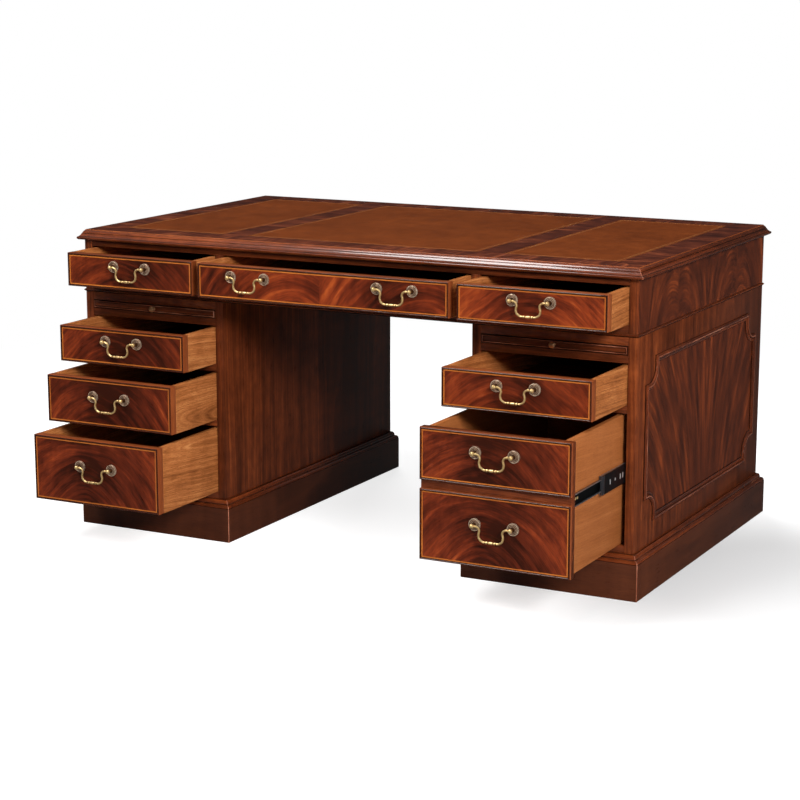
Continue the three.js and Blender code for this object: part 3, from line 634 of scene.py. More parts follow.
# Flame figure: the fibres follow arches whose height falls with the square of the distance from the
# apex. Across is the height above the arch over its slope's length, along is the distance run. The heart
# is a soft band of darkness round one place, on top of the leaf's shade: a painted shade over the whole
# leaf, deepest on the left pedestal's fronts, which lightens a front as painted light where it is negative
def archGrain(apex, curve, lean, seed, heartAt, shade):
    def grain(x, y):
        u = x - apex
        slope = 2 * curve * u + lean
        across = (y + curve * u ** 2 + lean * u) / np.sqrt(1 + slope ** 2)
        heart = shade + np.exp(-((x - heartAt) / heartWide) ** 2)
        along = u * np.sqrt(1 + (curve * u) ** 2)
        return veneerGrain(along, across, heart, seed)
    return grain


# A veneer's grain: along and across the fibres from where the seed cuts the leaf, and the third number
def veneerGrain(along, across, third, seed):
    step = grainStep
    return np.stack([
        along + seed * step["veneerAlong"], across + step["veneerFrom"] + seed * step["veneer"], third], -1)


# Feather figure of crotch veneer: the fibres leave a middle line upwards on both sides and bend over. A
# fibre's height is rise times the square root of the distance from that line, less droop times the
# distance squared. Across is the height over the fibre, divided by the slope's length. The middle is a
# round valley and no crease, and veneer in leaves repeats it in each leaf
def featherGrain(middle, look, seed, leaf=None):
    def grain(x, y):
        number = np.round((x - middle) / leaf) if leaf else 0 * x
        u = np.sqrt((x - middle - number * (leaf or 0)) ** 2 + look["valley"] ** 2)
        fibre = look["rise"] * np.sqrt(u) - look["droop"] * u ** 2
        slope = look["rise"] / (2 * np.sqrt(u)) - 2 * look["droop"] * u
        across = (y - fibre) / np.sqrt(1 + slope ** 2)
        return veneerGrain(np.hypot(u, fibre) + number * grainStep["leafAlong"], across, x * 0, seed)
    return grain


# The grain of a metal surface: only how far it stands proud, from 0 to 1
def rubbed(points, proud):
    return np.stack([np.broadcast_to(proud, points.shape[:-1])] + [np.zeros(points.shape[:-1])] * 2, -1)


# Points on a circle from one angle to another, in degrees
def circleArc(centre, radius, start, end, steps):
    turn = np.radians(np.linspace(start, end, steps + 1))
    return np.stack([centre[0] + radius * np.cos(turn), centre[1] + radius * np.sin(turn)], -1)


# A quarter of an ellipse from one point to another. It leaves level and arrives upright, or the reverse
def quarterRound(start, end, levelFirst=True, steps=8):
    turn = np.linspace(0, math.pi / 2, steps + 1)
    shares = [np.sin(turn), 1 - np.cos(turn)]
    x, y = shares if levelFirst else shares[::-1]
    return np.stack([start[0] + (end[0] - start[0]) * x, start[1] + (end[1] - start[1]) * y], -1)


# A moulding swept in bands of their own finish. Each band starts where the last one ended
def moulding(shell, where, path, bands, seed, soft=0):
    last = np.zeros((0, 2))
    for finish, points in bands:
        outline = np.concatenate([last, np.array(points, float)])
        sweep(shell, where, path, outline, finish, seed, soft=soft)
        last = outline[-1:]


# Turned work: a profile of (radius, out) carried round an axis that stands on the plane. Proud says how
# far each row of the profile stands out, for the metal's tarnish
def turned(shell, where, centre, profile, sides, finish, proud):
    profile = np.array(profile, float)
    turn = np.linspace(0, 2 * math.pi, sides, endpoint=False)
    local = np.stack(np.broadcast_arrays(
        centre[0] + profile[:, :1] * np.cos(turn),
        centre[1] + profile[:, :1] * np.sin(turn),
        profile[:, 1:]), -1)
    shell.grid(placed(where, local), rubbed(local, np.reshape(proud, (-1, 1))), finish, closed=True)


# A node's lowest and highest corners
def boxOf(node):
    low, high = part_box(node)
    return np.array(low), np.array(high)


# Top board. The moulding's points are (out, up) from the edge of the top's upper face
topLook = {
    "border": 0.075, "flatInset": 0.016, "recess": 0.002, "arrisDrop": 0.0015, "slopeSteps": 8,
    "upper": ((-0.0158, -0.0019), (-0.0105, -0.0086)), "lower": ((-0.0095, -0.0095), (-0.0038, -0.0168)),
    "bend": (0.000525, 0.000462), "nose": ((-0.0028, -0.0176), (0, -0.0204), (-0.0016, -0.0238)),
    "quirk": 0.0006, "quirkLean": 0.0001, "footInset": 0.003, "corner": 0.0014, "barShift": (0.2, 0.6),
}


# Moulded edge from the arris out and down: a small round, a slope that bulges, a quirk, a hollow slope,
# a fillet, and a nose over a foot that goes back under. A slope bends by a sine of its length. The small
# round is lighter as a painted highlight, and the step under it, the quirk and the fillet are painted shade
def edgeBands(thick, inner):
    look = topLook
    flat, drop = -look["flatInset"], look["arrisDrop"]
    upper, lower, nose = (np.array(look[key]) for key in ("upper", "lower", "nose"))
    share = np.linspace(0, 1, look["slopeSteps"] + 1)[:, None]
    bulge = np.sin(share * math.pi) * np.array([look["bend"]])
    first = upper[0] + (upper[1] - upper[0]) * share + bulge
    second = lower[0] + (lower[1] - lower[0]) * share - bulge
    roll = np.concatenate([quarterRound(nose[0], nose[1]), quarterRound(nose[1], nose[2], levelFirst=False)])
    bands = [
        ("edge", quarterRound((flat - drop, 0), (flat, -drop), steps=4)),
        ("shade", [upper[0]]),
        ("polish", first[1:]),
        ("shade", [upper[1] + (look["quirkLean"], -look["quirk"]), lower[0]]),
        ("polish", second[1:]),
        ("shade", [lower[1] + (0, -look["quirk"]), nose[0]]),
        ("polish", roll),
        ("polish", [(-look["footInset"], -thick)]),
    ]
    return [(finish, np.array(points) + (inner, 0)) for finish, points in bands]


# The top: border and moulding swept round the three hides' outline, a sunk floor under each hide, a
# cross-banded bar between each two, and the flat underside
def makeTop():
    look = topLook
    low, high = boxOf("top_board")
    thick = high[2] - low[2]
    where = facing("top", (0, (low[1] + high[1]) / 2, high[2]))
    inner = look["border"] + look["flatInset"]
    hides = [boxOf(f"leather_{name}") for name in ("left", "centre", "right")]
    edges = [corner[0].round(6) for hide in hides for corner in hide]
    xs = np.array(edges) - jointGap * np.tile(inwards, len(hides))
    ys = -inwards * ((high[1] - low[1]) / 2 - inner)
    path = perimeter(xs, ys)
    shell = Shell()
    soft = look["corner"]
    border = [[0, 0], [inner - look["flatInset"] - look["arrisDrop"], 0]]
    sweep(shell, where, path, border, "banding", seed=3, across=True, soft=soft)
    moulding(shell, where, path, edgeBands(thick, inner), seed=5, soft=soft)
    foot = [(inner - look["footInset"], -thick), (0, -thick)]
    sweep(shell, where, path, foot, "straight", seed=9, soft=soft)
    panel(shell, where, xs, ys, -thick, straightAcross(4), "straight")
    along, across = look["barShift"]
    for start in range(len(xs) - 1):
        pair = xs[start:start + 2]
        if start % 2:
            bar = lambda x, y: np.stack([x + along, y + across + start, x * 0], -1)
            panel(shell, where, pair, ys, 0, bar, "banding")
        else:
            panel(shell, where, pair, ys, -look["recess"], straightAcross(6), "straight")
            sweep(shell, where, perimeter(pair, ys), [[0, 0], [0, -look["recess"]]], "straight", seed=7)
    dress(shell, "top_board")


# Leather panels: a flat skived hide with a soft edge and a double line tooled round it
hideLook = {
    "edge": 0.0008, "edgeSteps": 3, "lineFrom": (0.0035, 0.0085), "lineWide": (0.0012, 0.0026),
    "lineDeep": 0.00015, "lineSlope": 0.0002,
}


# A hide: a flat panel, rims swept round it with a shallow groove for each line, and a quarter round down
def hidePanel(shell, where, xs, ys, thick):
    look = hideLook
    margin = look["lineFrom"][1] + look["lineWide"][1]
    innerX, innerY = xs + margin * inwards, ys + margin * inwards
    path = perimeter(innerX, innerY)
    grain = straightAcross(1)
    panel(shell, where, innerX, innerY, 0, grain, "leather")
    panel(shell, where, innerX, innerY, -thick, grain, "leather")
    reach = 0
    for start, wide in zip(look["lineFrom"][::-1], look["lineWide"][::-1]):
        near, far = margin - start - wide, margin - start
        if near > reach:
            sweep(shell, where, path, [[reach, 0], [near, 0]], "leather")
        slope, deep = look["lineSlope"], look["lineDeep"]
        groove = [[near, 0], [near + slope, -deep], [far - slope, -deep], [far, 0]]
        sweep(shell, where, path, groove, "gold")
        reach = far
    edge = look["edge"]
    soft = circleArc((margin - edge, -edge), edge, 90, 0, look["edgeSteps"])
    rim = np.concatenate([[[reach, 0]], soft, [[margin, -thick], [0, -thick]]])
    sweep(shell, where, path, rim, "leather")


# The three hides of the top: each fills its node's box
def makeLeather():
    for name in ("leather_left", "leather_centre", "leather_right"):
        low, high = boxOf(name)
        shell = Shell()
        where = facing("top", (0, 0, high[2]))
        hidePanel(shell, where, np.array([low[0], high[0]]), np.array([low[1], high[1]]), high[2] - low[2])
        dress(shell, name)


print("top")
makeTop()
makeLeather()

# Frieze: feathered veneer in leaves on its ends and back, and the floor with the waist bead round the case.
# Each veneer has its side, the place of a feather's middle, its seed and its stations
friezeLook = {
    "beadProud": 0.0035, "beadHigh": 0.007, "rollShare": 0.31, "rollTurn": 80, "rollSteps": 8,
    "quirkShare": 0.3, "shoulderShare": 0.16, "floorShare": 0.9,
    "railHigh": 0.016, "railDeep": 0.07, "partition": 0.022, "drawerGap": 0.001,
    "leaf": 0.42, "rise": 0.62, "droop": 2.2, "valley": 0.006,
    "veneers": {
        "frieze_end_right": ("right", 0.02, 1, 121), "frieze_end_left": ("left", -0.05, 5, 121),
        "frieze_back": ("back", 0.1, 9, 193),
    },
}


# A board whose outer face carries a veneer: the face is a fine panel, and the rest is swept round it
def veneeredBoard(shell, side, low, high, grain, seed, stations):
    where = facing(side)
    corners = np.array([low, high]) @ where[1].T
    lowest, highest = corners.min(0), corners.max(0)
    middle = (lowest + highest) / 2
    arris, steps = boardLook["arris"], boardLook["steps"]
    xs = np.linspace(lowest[0] + arris, highest[0] - arris, stations)
    ys = np.linspace(lowest[1] + arris, highest[1] - arris, stations // 2)
    panel(shell, where, xs, ys, highest[2], lambda x, y: grain(x - middle[0], y - middle[1]), "side")
    panel(shell, where, xs, ys, lowest[2], straightUp(seed), "straight")
    front = circleArc((0, highest[2] - arris), arris, 90, 0, steps)
    rear = circleArc((0, lowest[2] + arris), arris, 0, -90, steps)
    sweep(shell, where, perimeter(xs, ys), np.concatenate([front, rear]), "straight", seed)


# The ends and the back in leaves of feathered veneer, then the floor, and the rail with its stiles
def makeFrieze():
    for node, (side, middle, seed, stations) in friezeLook["veneers"].items():
        shell = Shell()
        figure = featherGrain(middle, friezeLook, seed, friezeLook["leaf"])
        veneeredBoard(shell, side, *boxOf(node), figure, seed, stations)
        dress(shell, node)
    makeFriezeFloor()
    makePartitions()


# The floor: a board inside the case, on a thin ledge whose edge is a roll between two quirks of painted shade
def makeFriezeFloor():
    look = friezeLook
    low, high = boxOf("frieze_floor_board")
    proud, bead = look["beadProud"], look["beadHigh"]
    top = bead - jointGap
    shell = Shell()
    where = facing("top", (0, 0, low[2]))
    xs, ys = (np.array([low[axis], high[axis]]) + proud * inwards for axis in (0, 1))
    radius, turn, quirk = bead * look["rollShare"], look["rollTurn"], proud * look["quirkShare"]
    roll = circleArc((proud - radius, bead / 2), radius, -turn, turn, look["rollSteps"])
    moulding(shell, where, perimeter(xs, ys), [
        ("straight", [(0, 0), (quirk, 0)]),
        ("shade", [(quirk, bead * look["shoulderShare"]), roll[0]]),
        ("polish", roll),
        ("shade", [(quirk, roll[-1][1])]),
        ("straight", [(quirk, top), (0, top)]),
    ], seed=2)
    for height in (0, top):
        panel(shell, where, xs, ys, height, straightAcross(3), "straight")
    side = boxOf("frieze_end_right")[0][0] - jointGap
    rear = boxOf("frieze_back")[0][1] - jointGap
    start = (-side, ys[0], low[2] + bead * look["floorShare"])
    board(shell, start, (side, rear, high[2]), "x", "straight", seed=21)
    dress(shell, "frieze_floor_board")


# The top rail, and beside the centre drawer a stile with a partition behind it
def makePartitions():
    look = friezeLook
    low, high = boxOf("frieze_partition_frame")
    centre = boxOf("frieze_centre_drawer_front")[1][0] + look["drawerGap"]
    shell = Shell()
    rail, behind = high[2] - look["railHigh"] + jointGap, low[1] + look["railDeep"]
    board(shell, (low[0], low[1], rail), (high[0], behind, high[2]), "x", "straight", seed=31)
    for sign in (-1, 1):
        inner, outer = sorted([sign * centre, sign * (centre + look["partition"])])
        board(shell, (inner, low[1], low[2]), (outer, behind, rail), "z", "straight", seed=33 + sign)
        board(shell, (inner, behind, low[2]), (outer, high[1], high[2]), "z", "straight", seed=36 + sign)
    dress(shell, "frieze_partition_frame")


print("frieze")
makeFrieze()

# Pedestals. The applied moulding's places are shares of its width, inwards below 0, and of its height
panelLook = {
    "wide": 0.018, "proud": 0.0065, "endMargin": 0.054, "footMargin": 0.053, "headMargin": 0.057,
    "notch": 0.06, "ear": 0.012, "notchSteps": 14, "plate": 0.00025, "strips": 33, "rows": 25, "step": 1e-6,
    "root": 0.001, "rubbed": 0.0014, "rubDeep": 0.0001, "quirkWide": 0.0006,
    "shoulderShare": (0.47, 0.34), "crownShare": (0.14, 1), "quirkShare": (-0.04, 0.72),
    "hollowShare": (-0.44, 0.26), "rimShares": (0.3, 0.2),
}
sideFeather = {"rise": 1.15, "droop": 0.7, "valley": 0.006}
# Where the feather's middle is, and the seeds of the veneer and the board on the left pedestal. The right
# pedestal's seeds are one higher
framedParts = {"outer_side": (0.03, 3, 81), "back": (-0.02, 7, 85)}


# A frame's path with scooped corners: straight sides, short ears, and quarter circles turned inwards
def scoopedPath(halfWide, halfHigh):
    look = panelLook
    radius = look["notch"] - look["ear"]
    arc = circleArc((halfWide - look["ear"], halfHigh - look["ear"]), radius, 270, 180, look["notchSteps"])
    start, end = [halfWide, halfHigh - look["notch"]], [halfWide - look["notch"], halfHigh]
    corner = np.concatenate([[start], arc, [end]])
    flipped = corner[::-1]
    return np.concatenate([corner, flipped * (-1, 1), corner * (-1, -1), flipped * (1, -1)])


# Bands of the applied moulding: a shoulder outside, a crown with a thin band of lighter mahogany on it as
# a painted highlight, a quirk, and a hollow down to the field. The bands at its edges and in the quirk are
# painted shade
def panelBands():
    look = panelLook
    size = np.array([look["wide"], look["proud"]])
    shoulder, crown, quirk, hollow = (
        size * look[key] for key in ("shoulderShare", "crownShare", "quirkShare", "hollowShare"))
    edge, root = look["wide"] / 2, -look["root"]
    outerRim, innerRim = (look["proud"] * share for share in look["rimShares"])
    rubbed, deep = look["rubbed"], look["rubDeep"]
    worn = crown - (rubbed / 2, deep)
    nearQuirk, farQuirk = quirk + (look["quirkWide"], 0), quirk - (look["quirkWide"], 0)
    return [
        ("shade", [(edge, root), (edge, outerRim)]),
        ("polish", quarterRound(shoulder, crown + (rubbed, -2 * deep), levelFirst=False)),
        ("rubbed", [crown, worn]),
        ("polish", quarterRound(worn, nearQuirk, steps=6)),
        ("shade", [quirk, farQuirk]),
        ("polish", quarterRound(farQuirk, hollow, levelFirst=False)),
        ("shade", [(-edge, innerRim), (-edge, root), (edge, root)]),
    ]


# A side or back: a board that the moulding's height is taken off, the moulding, and the field in it. The
# field stands on the same lines as the drawers, so it is measured from the pedestal's inner side
def framedBoard(node, side, fieldGrain, seed):
    look = panelLook
    where = facing(side)
    low, high = boxOf(node)
    out = where[1][2]
    low -= np.minimum(out, 0) * look["proud"]
    high -= np.maximum(out, 0) * look["proud"]
    corners = np.array([low, high]) @ where[1].T
    lowest, highest = corners.min(0), corners.max(0)
    shell = Shell()
    board(shell, low, high, "z", "straight", seed)
    carcaseLow, carcaseHigh = boxOf("left_inner_side")
    bottom, top = carcaseLow[2] + look["footMargin"], carcaseHigh[2] + jointGap - look["headMargin"]
    halfWide = (highest[0] - lowest[0]) / 2 - look["endMargin"] - look["wide"] / 2
    halfHigh = (top - bottom) / 2 - look["wide"] / 2
    centre = np.array([(lowest[0] + highest[0]) / 2, (bottom + top) / 2, highest[2]])
    onFace = plane(*where[1], placed(where, centre))
    moulding(shell, onFace, scoopedPath(halfWide, halfHigh), panelBands(), seed + 3)
    fieldPlate(shell, onFace, halfWide, halfHigh, fieldGrain)
    dress(shell, node)


# The field inside the moulding: a thin plate of upright strips, each as high as the scooped outline is
# at its place: the full half height less the depth of the notch, which is a quarter circle
def fieldPlate(shell, where, halfWide, halfHigh, grain):
    look = panelLook
    radius = look["notch"] - look["ear"]
    turn = np.linspace(0, math.pi / 2, look["notchSteps"] + 1)
    scoop = halfWide - look["ear"] - radius * (1 - np.cos(turn))
    plain = np.linspace(0, scoop[-1], look["strips"] + 1)[1:-1]
    right = np.concatenate([plain, scoop[::-1], [scoop[0] + look["step"], halfWide]])
    x = np.concatenate([-right[::-1], [0], right])
    into = np.abs(x) - (halfWide - look["ear"])
    depth = np.sqrt(np.clip(radius ** 2 - into ** 2, 0, None))
    depth = np.where(into > 0, look["notch"], np.where(into < -radius, 0, depth + look["ear"]))
    y = np.linspace(-1, 1, look["rows"]) * (halfHigh - depth)[:, None]
    flat = np.stack([np.broadcast_to(x[:, None], y.shape), y], -1)
    for lift in (look["plate"], -look["plate"]):
        local = np.concatenate([flat, np.full(y.shape + (1,), lift)], -1)
        shell.grid(placed(where, local), grain(local[..., 0], local[..., 1]), "side")


# The moulding's places are shares of its projection, inwards, and of its height
plinthLook = {
    "boardThick": 0.021, "shelfWide": 0.045, "projection": 0.018, "mouldHigh": 0.0205, "corner": 0.0014,
    "arris": 0.0006, "headLip": 0.0004, "seed": 12,
    "footShares": [(0.06, 0), (0.06, 0.05)], "lowRoundShares": [(0.04, 0.06), (0.44, 0.42)],
    "filletShares": [(0.49, 0.425)], "stepShares": [(0.51, 0.43), (0.51, 0.5)],
    "highRoundShares": [(0.5, 0.5), (0.8, 0.97)], "ledgeShare": (0.86, 0.97),
}


# Plinth: a board up to the moulding's foot, then two rounds with a fillet between them, up to the ledge
# that the pedestal stands on. The fillet is lighter as a painted highlight, and the quirks beside the rounds
# are painted shade
def makePlinth(node):
    low, high = boxOf(node)
    look = plinthLook
    shelf, thick, arris, reach = look["shelfWide"], look["boardThick"], look["arris"], look["projection"]
    path = perimeter(*(np.array([low[axis], high[axis]]) + shelf * inwards for axis in (0, 1)))
    top = high[2]
    foot, rise = top + jointGap - look["mouldHigh"], look["mouldHigh"] - jointGap
    at = lambda shares: [(-reach * inward, foot + rise * up) for inward, up in shares]
    ledge = look["ledgeShare"]
    bands = [
        ("plinth", [(-thick, 0), (-arris, 0), (0, arris), (0, foot - look["headLip"]), (-arris, foot)]),
        ("shade", at(look["footShares"])),
        ("polish", quarterRound(*at(look["lowRoundShares"]), levelFirst=False)),
        ("rubbed", at(look["filletShares"])),
        ("shade", at(look["stepShares"])),
        ("polish", quarterRound(*at(look["highRoundShares"]), levelFirst=False)),
        ("shade", [*at([ledge]), (-reach * ledge[0], top)]),
        ("straight", [(-shelf, top), (-shelf, foot), (-thick, foot), (-thick, 0)]),
    ]
    shell = Shell()
    bands = [(finish, np.array(points) + (shelf, 0)) for finish, points in bands]
    moulding(shell, facing("top"), path, bands, look["seed"] + len(node), look["corner"])
    dress(shell, node)


# Boards with nothing on them, each with the way of its fibres and its seed
plainLook = {
    "left_inner_side": ("z", 41), "right_inner_side": ("z", 43), "left_bottom_board": ("x", 47),
    "left_upper_dust_board": ("x", 48), "right_bottom_board": ("x", 49), "right_upper_dust_board": ("x", 50),
    "left_lower_dust_board": ("x", 61),
}


# A plain board fills its node's box, with rounded arrises
def plainBoards():
    for node, (fibre, seed) in plainLook.items():
        shell = Shell()
        board(shell, *boxOf(node), fibre, "straight", seed)
        dress(shell, node)


housingLook = {"under": 0.0005, "over": 0.001, "stopDeep": 0.04, "tongue": 0.001}


# The boards above and below a writing slide, and the stop rail behind it, let into both
def makeSlideHousing(side):
    look = housingLook
    low, high = boxOf(f"{side}_slide_housing")
    slideLow, slideHigh = boxOf(f"{side}_writing_slide")
    shelf, lid = slideLow[2] - look["under"], slideHigh[2] + look["over"]
    stop, tongue = high[1] - look["stopDeep"], look["tongue"]
    shell = Shell()
    board(shell, low, (high[0], high[1], shelf), "x", "straight", seed=71)
    board(shell, (low[0], low[1], lid), high, "x", "straight", seed=73)
    board(shell, (low[0], stop, shelf - tongue), (high[0], high[1], lid + tongue), "x", "straight", seed=75)
    dress(shell, f"{side}_slide_housing")


print("pedestals")
for number, side in enumerate(("left", "right")):
    for part, (middle, veneerSeed, boardSeed) in framedParts.items():
        figure = featherGrain(middle, sideFeather, veneerSeed + number)
        framedBoard(f"{side}_{part}", "back" if part == "back" else side, figure, boardSeed + number)
    makePlinth(f"{side}_plinth")
    makeSlideHousing(side)
plainBoards()

# Drawer fronts
frontLook = {
    "thick": 0.022, "beadInset": 0.0005, "beadWide": 0.0034, "beadProud": 0.0025, "quirkWide": 0.0009,
    "quirkDeep": 0.0012, "quirkSlope": 0.0001, "stringWide": 0.0026, "bandWide": 0.0004, "arris": 0.0005,
    "stations": 33, "rows": 16, "recess": 0.007, "glued": 0.0004, "upperFoot": 0.002, "seed": 11,
}
beadLook = {"steps": 10, "power": 0.8}

# Each front's figure: the apex, curve and lean of its arches, the place in the grain, the heart's place and
# the leaf's painted shade, deepest on the left pedestal and a painted light where negative. The centre
# drawer has two leaves, and the file drawer two fields, from the top down
figures = {
    "frieze_left_drawer": [(0.02, 4.4, 0.5, 11, 0.02, 0.15)],
    "frieze_centre_drawer": [(0.07, 4.2, -0.2, 12, -0.15, -0.08), (0.09, 4.2, -0.2, 12, 0.02, -0.05)],
    "frieze_right_drawer": [(-0.01, 4.6, -0.1, 13, -0.03, -0.3)],
    "left_upper_drawer": [(0.02, 4.8, 0.4, 14, 0.02, 0.32)],
    "left_middle_drawer": [(0.0, 5.2, 0.35, 15, 0.0, 0.32)],
    "left_lower_drawer": [(-0.01, 5.4, 0.3, 16, -0.01, 0.14)],
    "right_upper_drawer": [(0.02, 4.6, 0.45, 17, 0.02, 0.15)],
    "file_drawer": [(0.0, 4.4, 0.4, 22, 0.0, 0.1), (0.01, 5.4, 0.4, 18, 0.01, 0.05)],
}


# A bead's outline: a half circle of cosine and sine, stretched to its width and height, its sine filled
# out by a power
def beadRoll(start, wide, proud):
    half = wide / 2
    turn = np.linspace(math.pi, 0, beadLook["steps"] + 1)
    return np.stack([start + half + half * np.cos(turn), proud * np.sin(turn) ** beadLook["power"]], -1)


# One beaded field: the veneer in one leaf or more side by side, each with its own grain, a string round
# it, a quirk in painted shade, the cock bead, and the edges down to the back in lighter mahogany as a painted
# highlight
def frontField(shell, low, high, faceY, thick, leaves, seed):
    look = frontLook
    where = facing("front", (0, faceY, 0))
    string = look["stringWide"]
    band = string + look["bandWide"]
    quirk = band + look["quirkWide"]
    beadEnd = quirk + look["beadWide"]
    margin = beadEnd + look["beadInset"]
    xs = np.linspace(low[0] + margin, high[0] - margin, look["stations"])
    zs = np.linspace(low[1] + margin, high[1] - margin, look["rows"])
    joints = np.linspace(xs[0], xs[-1], len(leaves) + 1)
    for start, end, grain in zip(joints, joints[1:], leaves):
        middle = ((start + end) / 2, (low[1] + high[1]) / 2)
        leaf = lambda x, y: grain(x - middle[0], y - middle[1])
        panel(shell, where, np.linspace(start, end, look["stations"]), zs, 0, leaf, "figured")
    panel(shell, where, xs, zs, -thick, straightAcross(seed), "edge")
    path = perimeter(xs, zs)
    deep, slope, arris, steps = -look["quirkDeep"], look["quirkSlope"], look["arris"], boardLook["steps"]
    rim = np.concatenate([
        [[beadEnd, 0]],
        circleArc((margin - arris, -arris), arris, 90, 0, steps),
        circleArc((margin - arris, arris - thick), arris, 0, -90, steps),
        [[0, -thick]],
    ])
    sweep(shell, where, path, [[0, 0], [string, 0]], "string", seed)
    sweep(shell, where, path, [[string, 0], [band, 0]], "straight", seed)
    sweep(shell, where, path, [[band, 0], [band + slope, deep], [quirk, deep], [quirk, 0]], "shade", seed + 1)
    sweep(shell, where, path, beadRoll(quirk, look["beadWide"], look["beadProud"]), "bead", seed + 2)
    sweep(shell, where, path, rim, "edge", seed + 4)


# Posts: a rosette of rings, a waisted neck and a ball for the bail's pin. Wear is how far each part
# stands proud, from 0 in a groove to 1 on a crest
pullLook = {
    "spacing": 0.092, "projection": 0.015, "sides": 40,
    "rosette": 0.0145, "rosetteThick": 0.003, "root": 0.001, "rings": 3, "ringRows": 34, "holeShare": 0.36,
    "outerRingShare": 0.985, "rimShare": 0.3, "rollShare": 0.5, "riseShare": 0.2, "outerRollShare": 0.3,
    "rollPower": 0.7, "rimWear": 0.3, "innerWear": 0.66, "wearPower": 8,
    "neck": 0.0036, "neckRows": 9, "neckFootShare": 1.1, "footShare": 1.25, "waistShare": 0.32,
    "taperShare": 0.3, "neckWear": 0.4,
    "head": 0.0052, "headRows": 13, "headFootShare": 0.95, "headWear": (0.55, 0.5),
}


# The rosette's rings: its height is a rising line plus rolls as the absolute sine of the radius. The
# profile's last column says how far each row stands proud. The number of the rosette's rows goes with it
def rosetteProfile():
    look = pullLook
    radius, thick, root = look["rosette"], look["rosetteThick"], look["root"]
    radii = np.linspace(1, look["holeShare"], look["ringRows"])
    inward = (1 - radii) / (1 - look["holeShare"])
    rolls = np.abs(np.sin(inward * math.pi * look["rings"])) ** look["rollPower"]
    swell = rolls * (1 - look["outerRollShare"] + look["outerRollShare"] * radii)
    heights = thick * (look["rimShare"] + look["rollShare"] * swell + look["riseShare"] * inward)
    worn = rolls ** 2 * (look["innerWear"] + (1 - look["innerWear"]) * radii ** look["wearPower"])
    low = look["rimWear"]
    rim = [[0, -root, low], [radius, -root, low], [radius, thick * look["rimShare"], 1]]
    return np.concatenate([rim, np.stack([radius * radii * look["outerRingShare"], heights, worn], -1)])


# The neck's radius falls along a line, with a sine's waist in it, to the ball, which is cut flat there
def neckProfile():
    look = pullLook
    head = look["head"]
    cut = math.asin(look["neck"] * look["headFootShare"] / head)
    foot, top = look["rosetteThick"] * look["neckFootShare"], look["projection"] - head * math.cos(cut)
    share = np.linspace(0, 1, look["neckRows"])
    radii = look["neck"] * (look["footShare"] - look["waistShare"] * np.sin(share * math.pi)
                            - look["taperShare"] * share)
    neck = np.stack([radii, foot + (top - foot) * share, share * look["neckWear"]], -1)
    turn = np.linspace(math.pi - cut, 0, look["headRows"])
    worn = look["headWear"][0] + look["headWear"][1] * np.cos(turn)
    ball = np.stack([head * np.sin(turn), look["projection"] + head * np.cos(turn), worn], -1)
    return np.concatenate([neck, ball])


bailLook = {
    "end": 0.04, "drop": 0.033, "wire": 0.0026, "bead": 0.0034, "beadLong": 0.026, "steps": 12, "sides": 16,
    "lowShare": 0.6, "swellShare": 1.05, "swellSharp": 14, "notchShares": (0.5, 1), "notchWide": 0.07,
    "notchDeep": 0.45, "waves": 0.25, "collar": 0.0009, "collarShare": 0.93, "collarLong": 0.0012,
    "collarHigh": 0.004, "pinRadius": 0.0015, "pinFrom": 0.0004, "beadWear": 0.95, "notchWear": 0.7,
    "wireWear": 0.9, "handShare": (0.55, 0.4),
}
# The right half from the pin to the middle, in shares of the end and of the drop
bailPathShares = [(1.075, 0), (1, 0), (0.9, 0), (0.76, 0.08), (0.69, 0.27), (0.735, 0.545), (0.675, 0.82),
                  (0.475, 0.98), (0.25, 1), (0, 1)]


# A smooth curve through the points: on each stretch the sum of four neighbours, weighted by cubics
def throughPoints(points, steps):
    points = np.array(points, float)
    padded = np.concatenate([2 * points[:1] - points[1:2], points, 2 * points[-1:] - points[-2:-1]])
    t = np.linspace(0, 1, steps, endpoint=False)[None, :, None]
    before, here, ahead, after = (padded[i:len(padded) - 3 + i, None] for i in range(4))
    curve = 0.5 * (2 * here + (ahead - before) * t + (2 * before - 5 * here + 4 * ahead - after) * t ** 2
                   + (3 * here - before - 3 * ahead + after) * t ** 3)
    return np.concatenate([curve.reshape(-1, 2), points[-1:]])


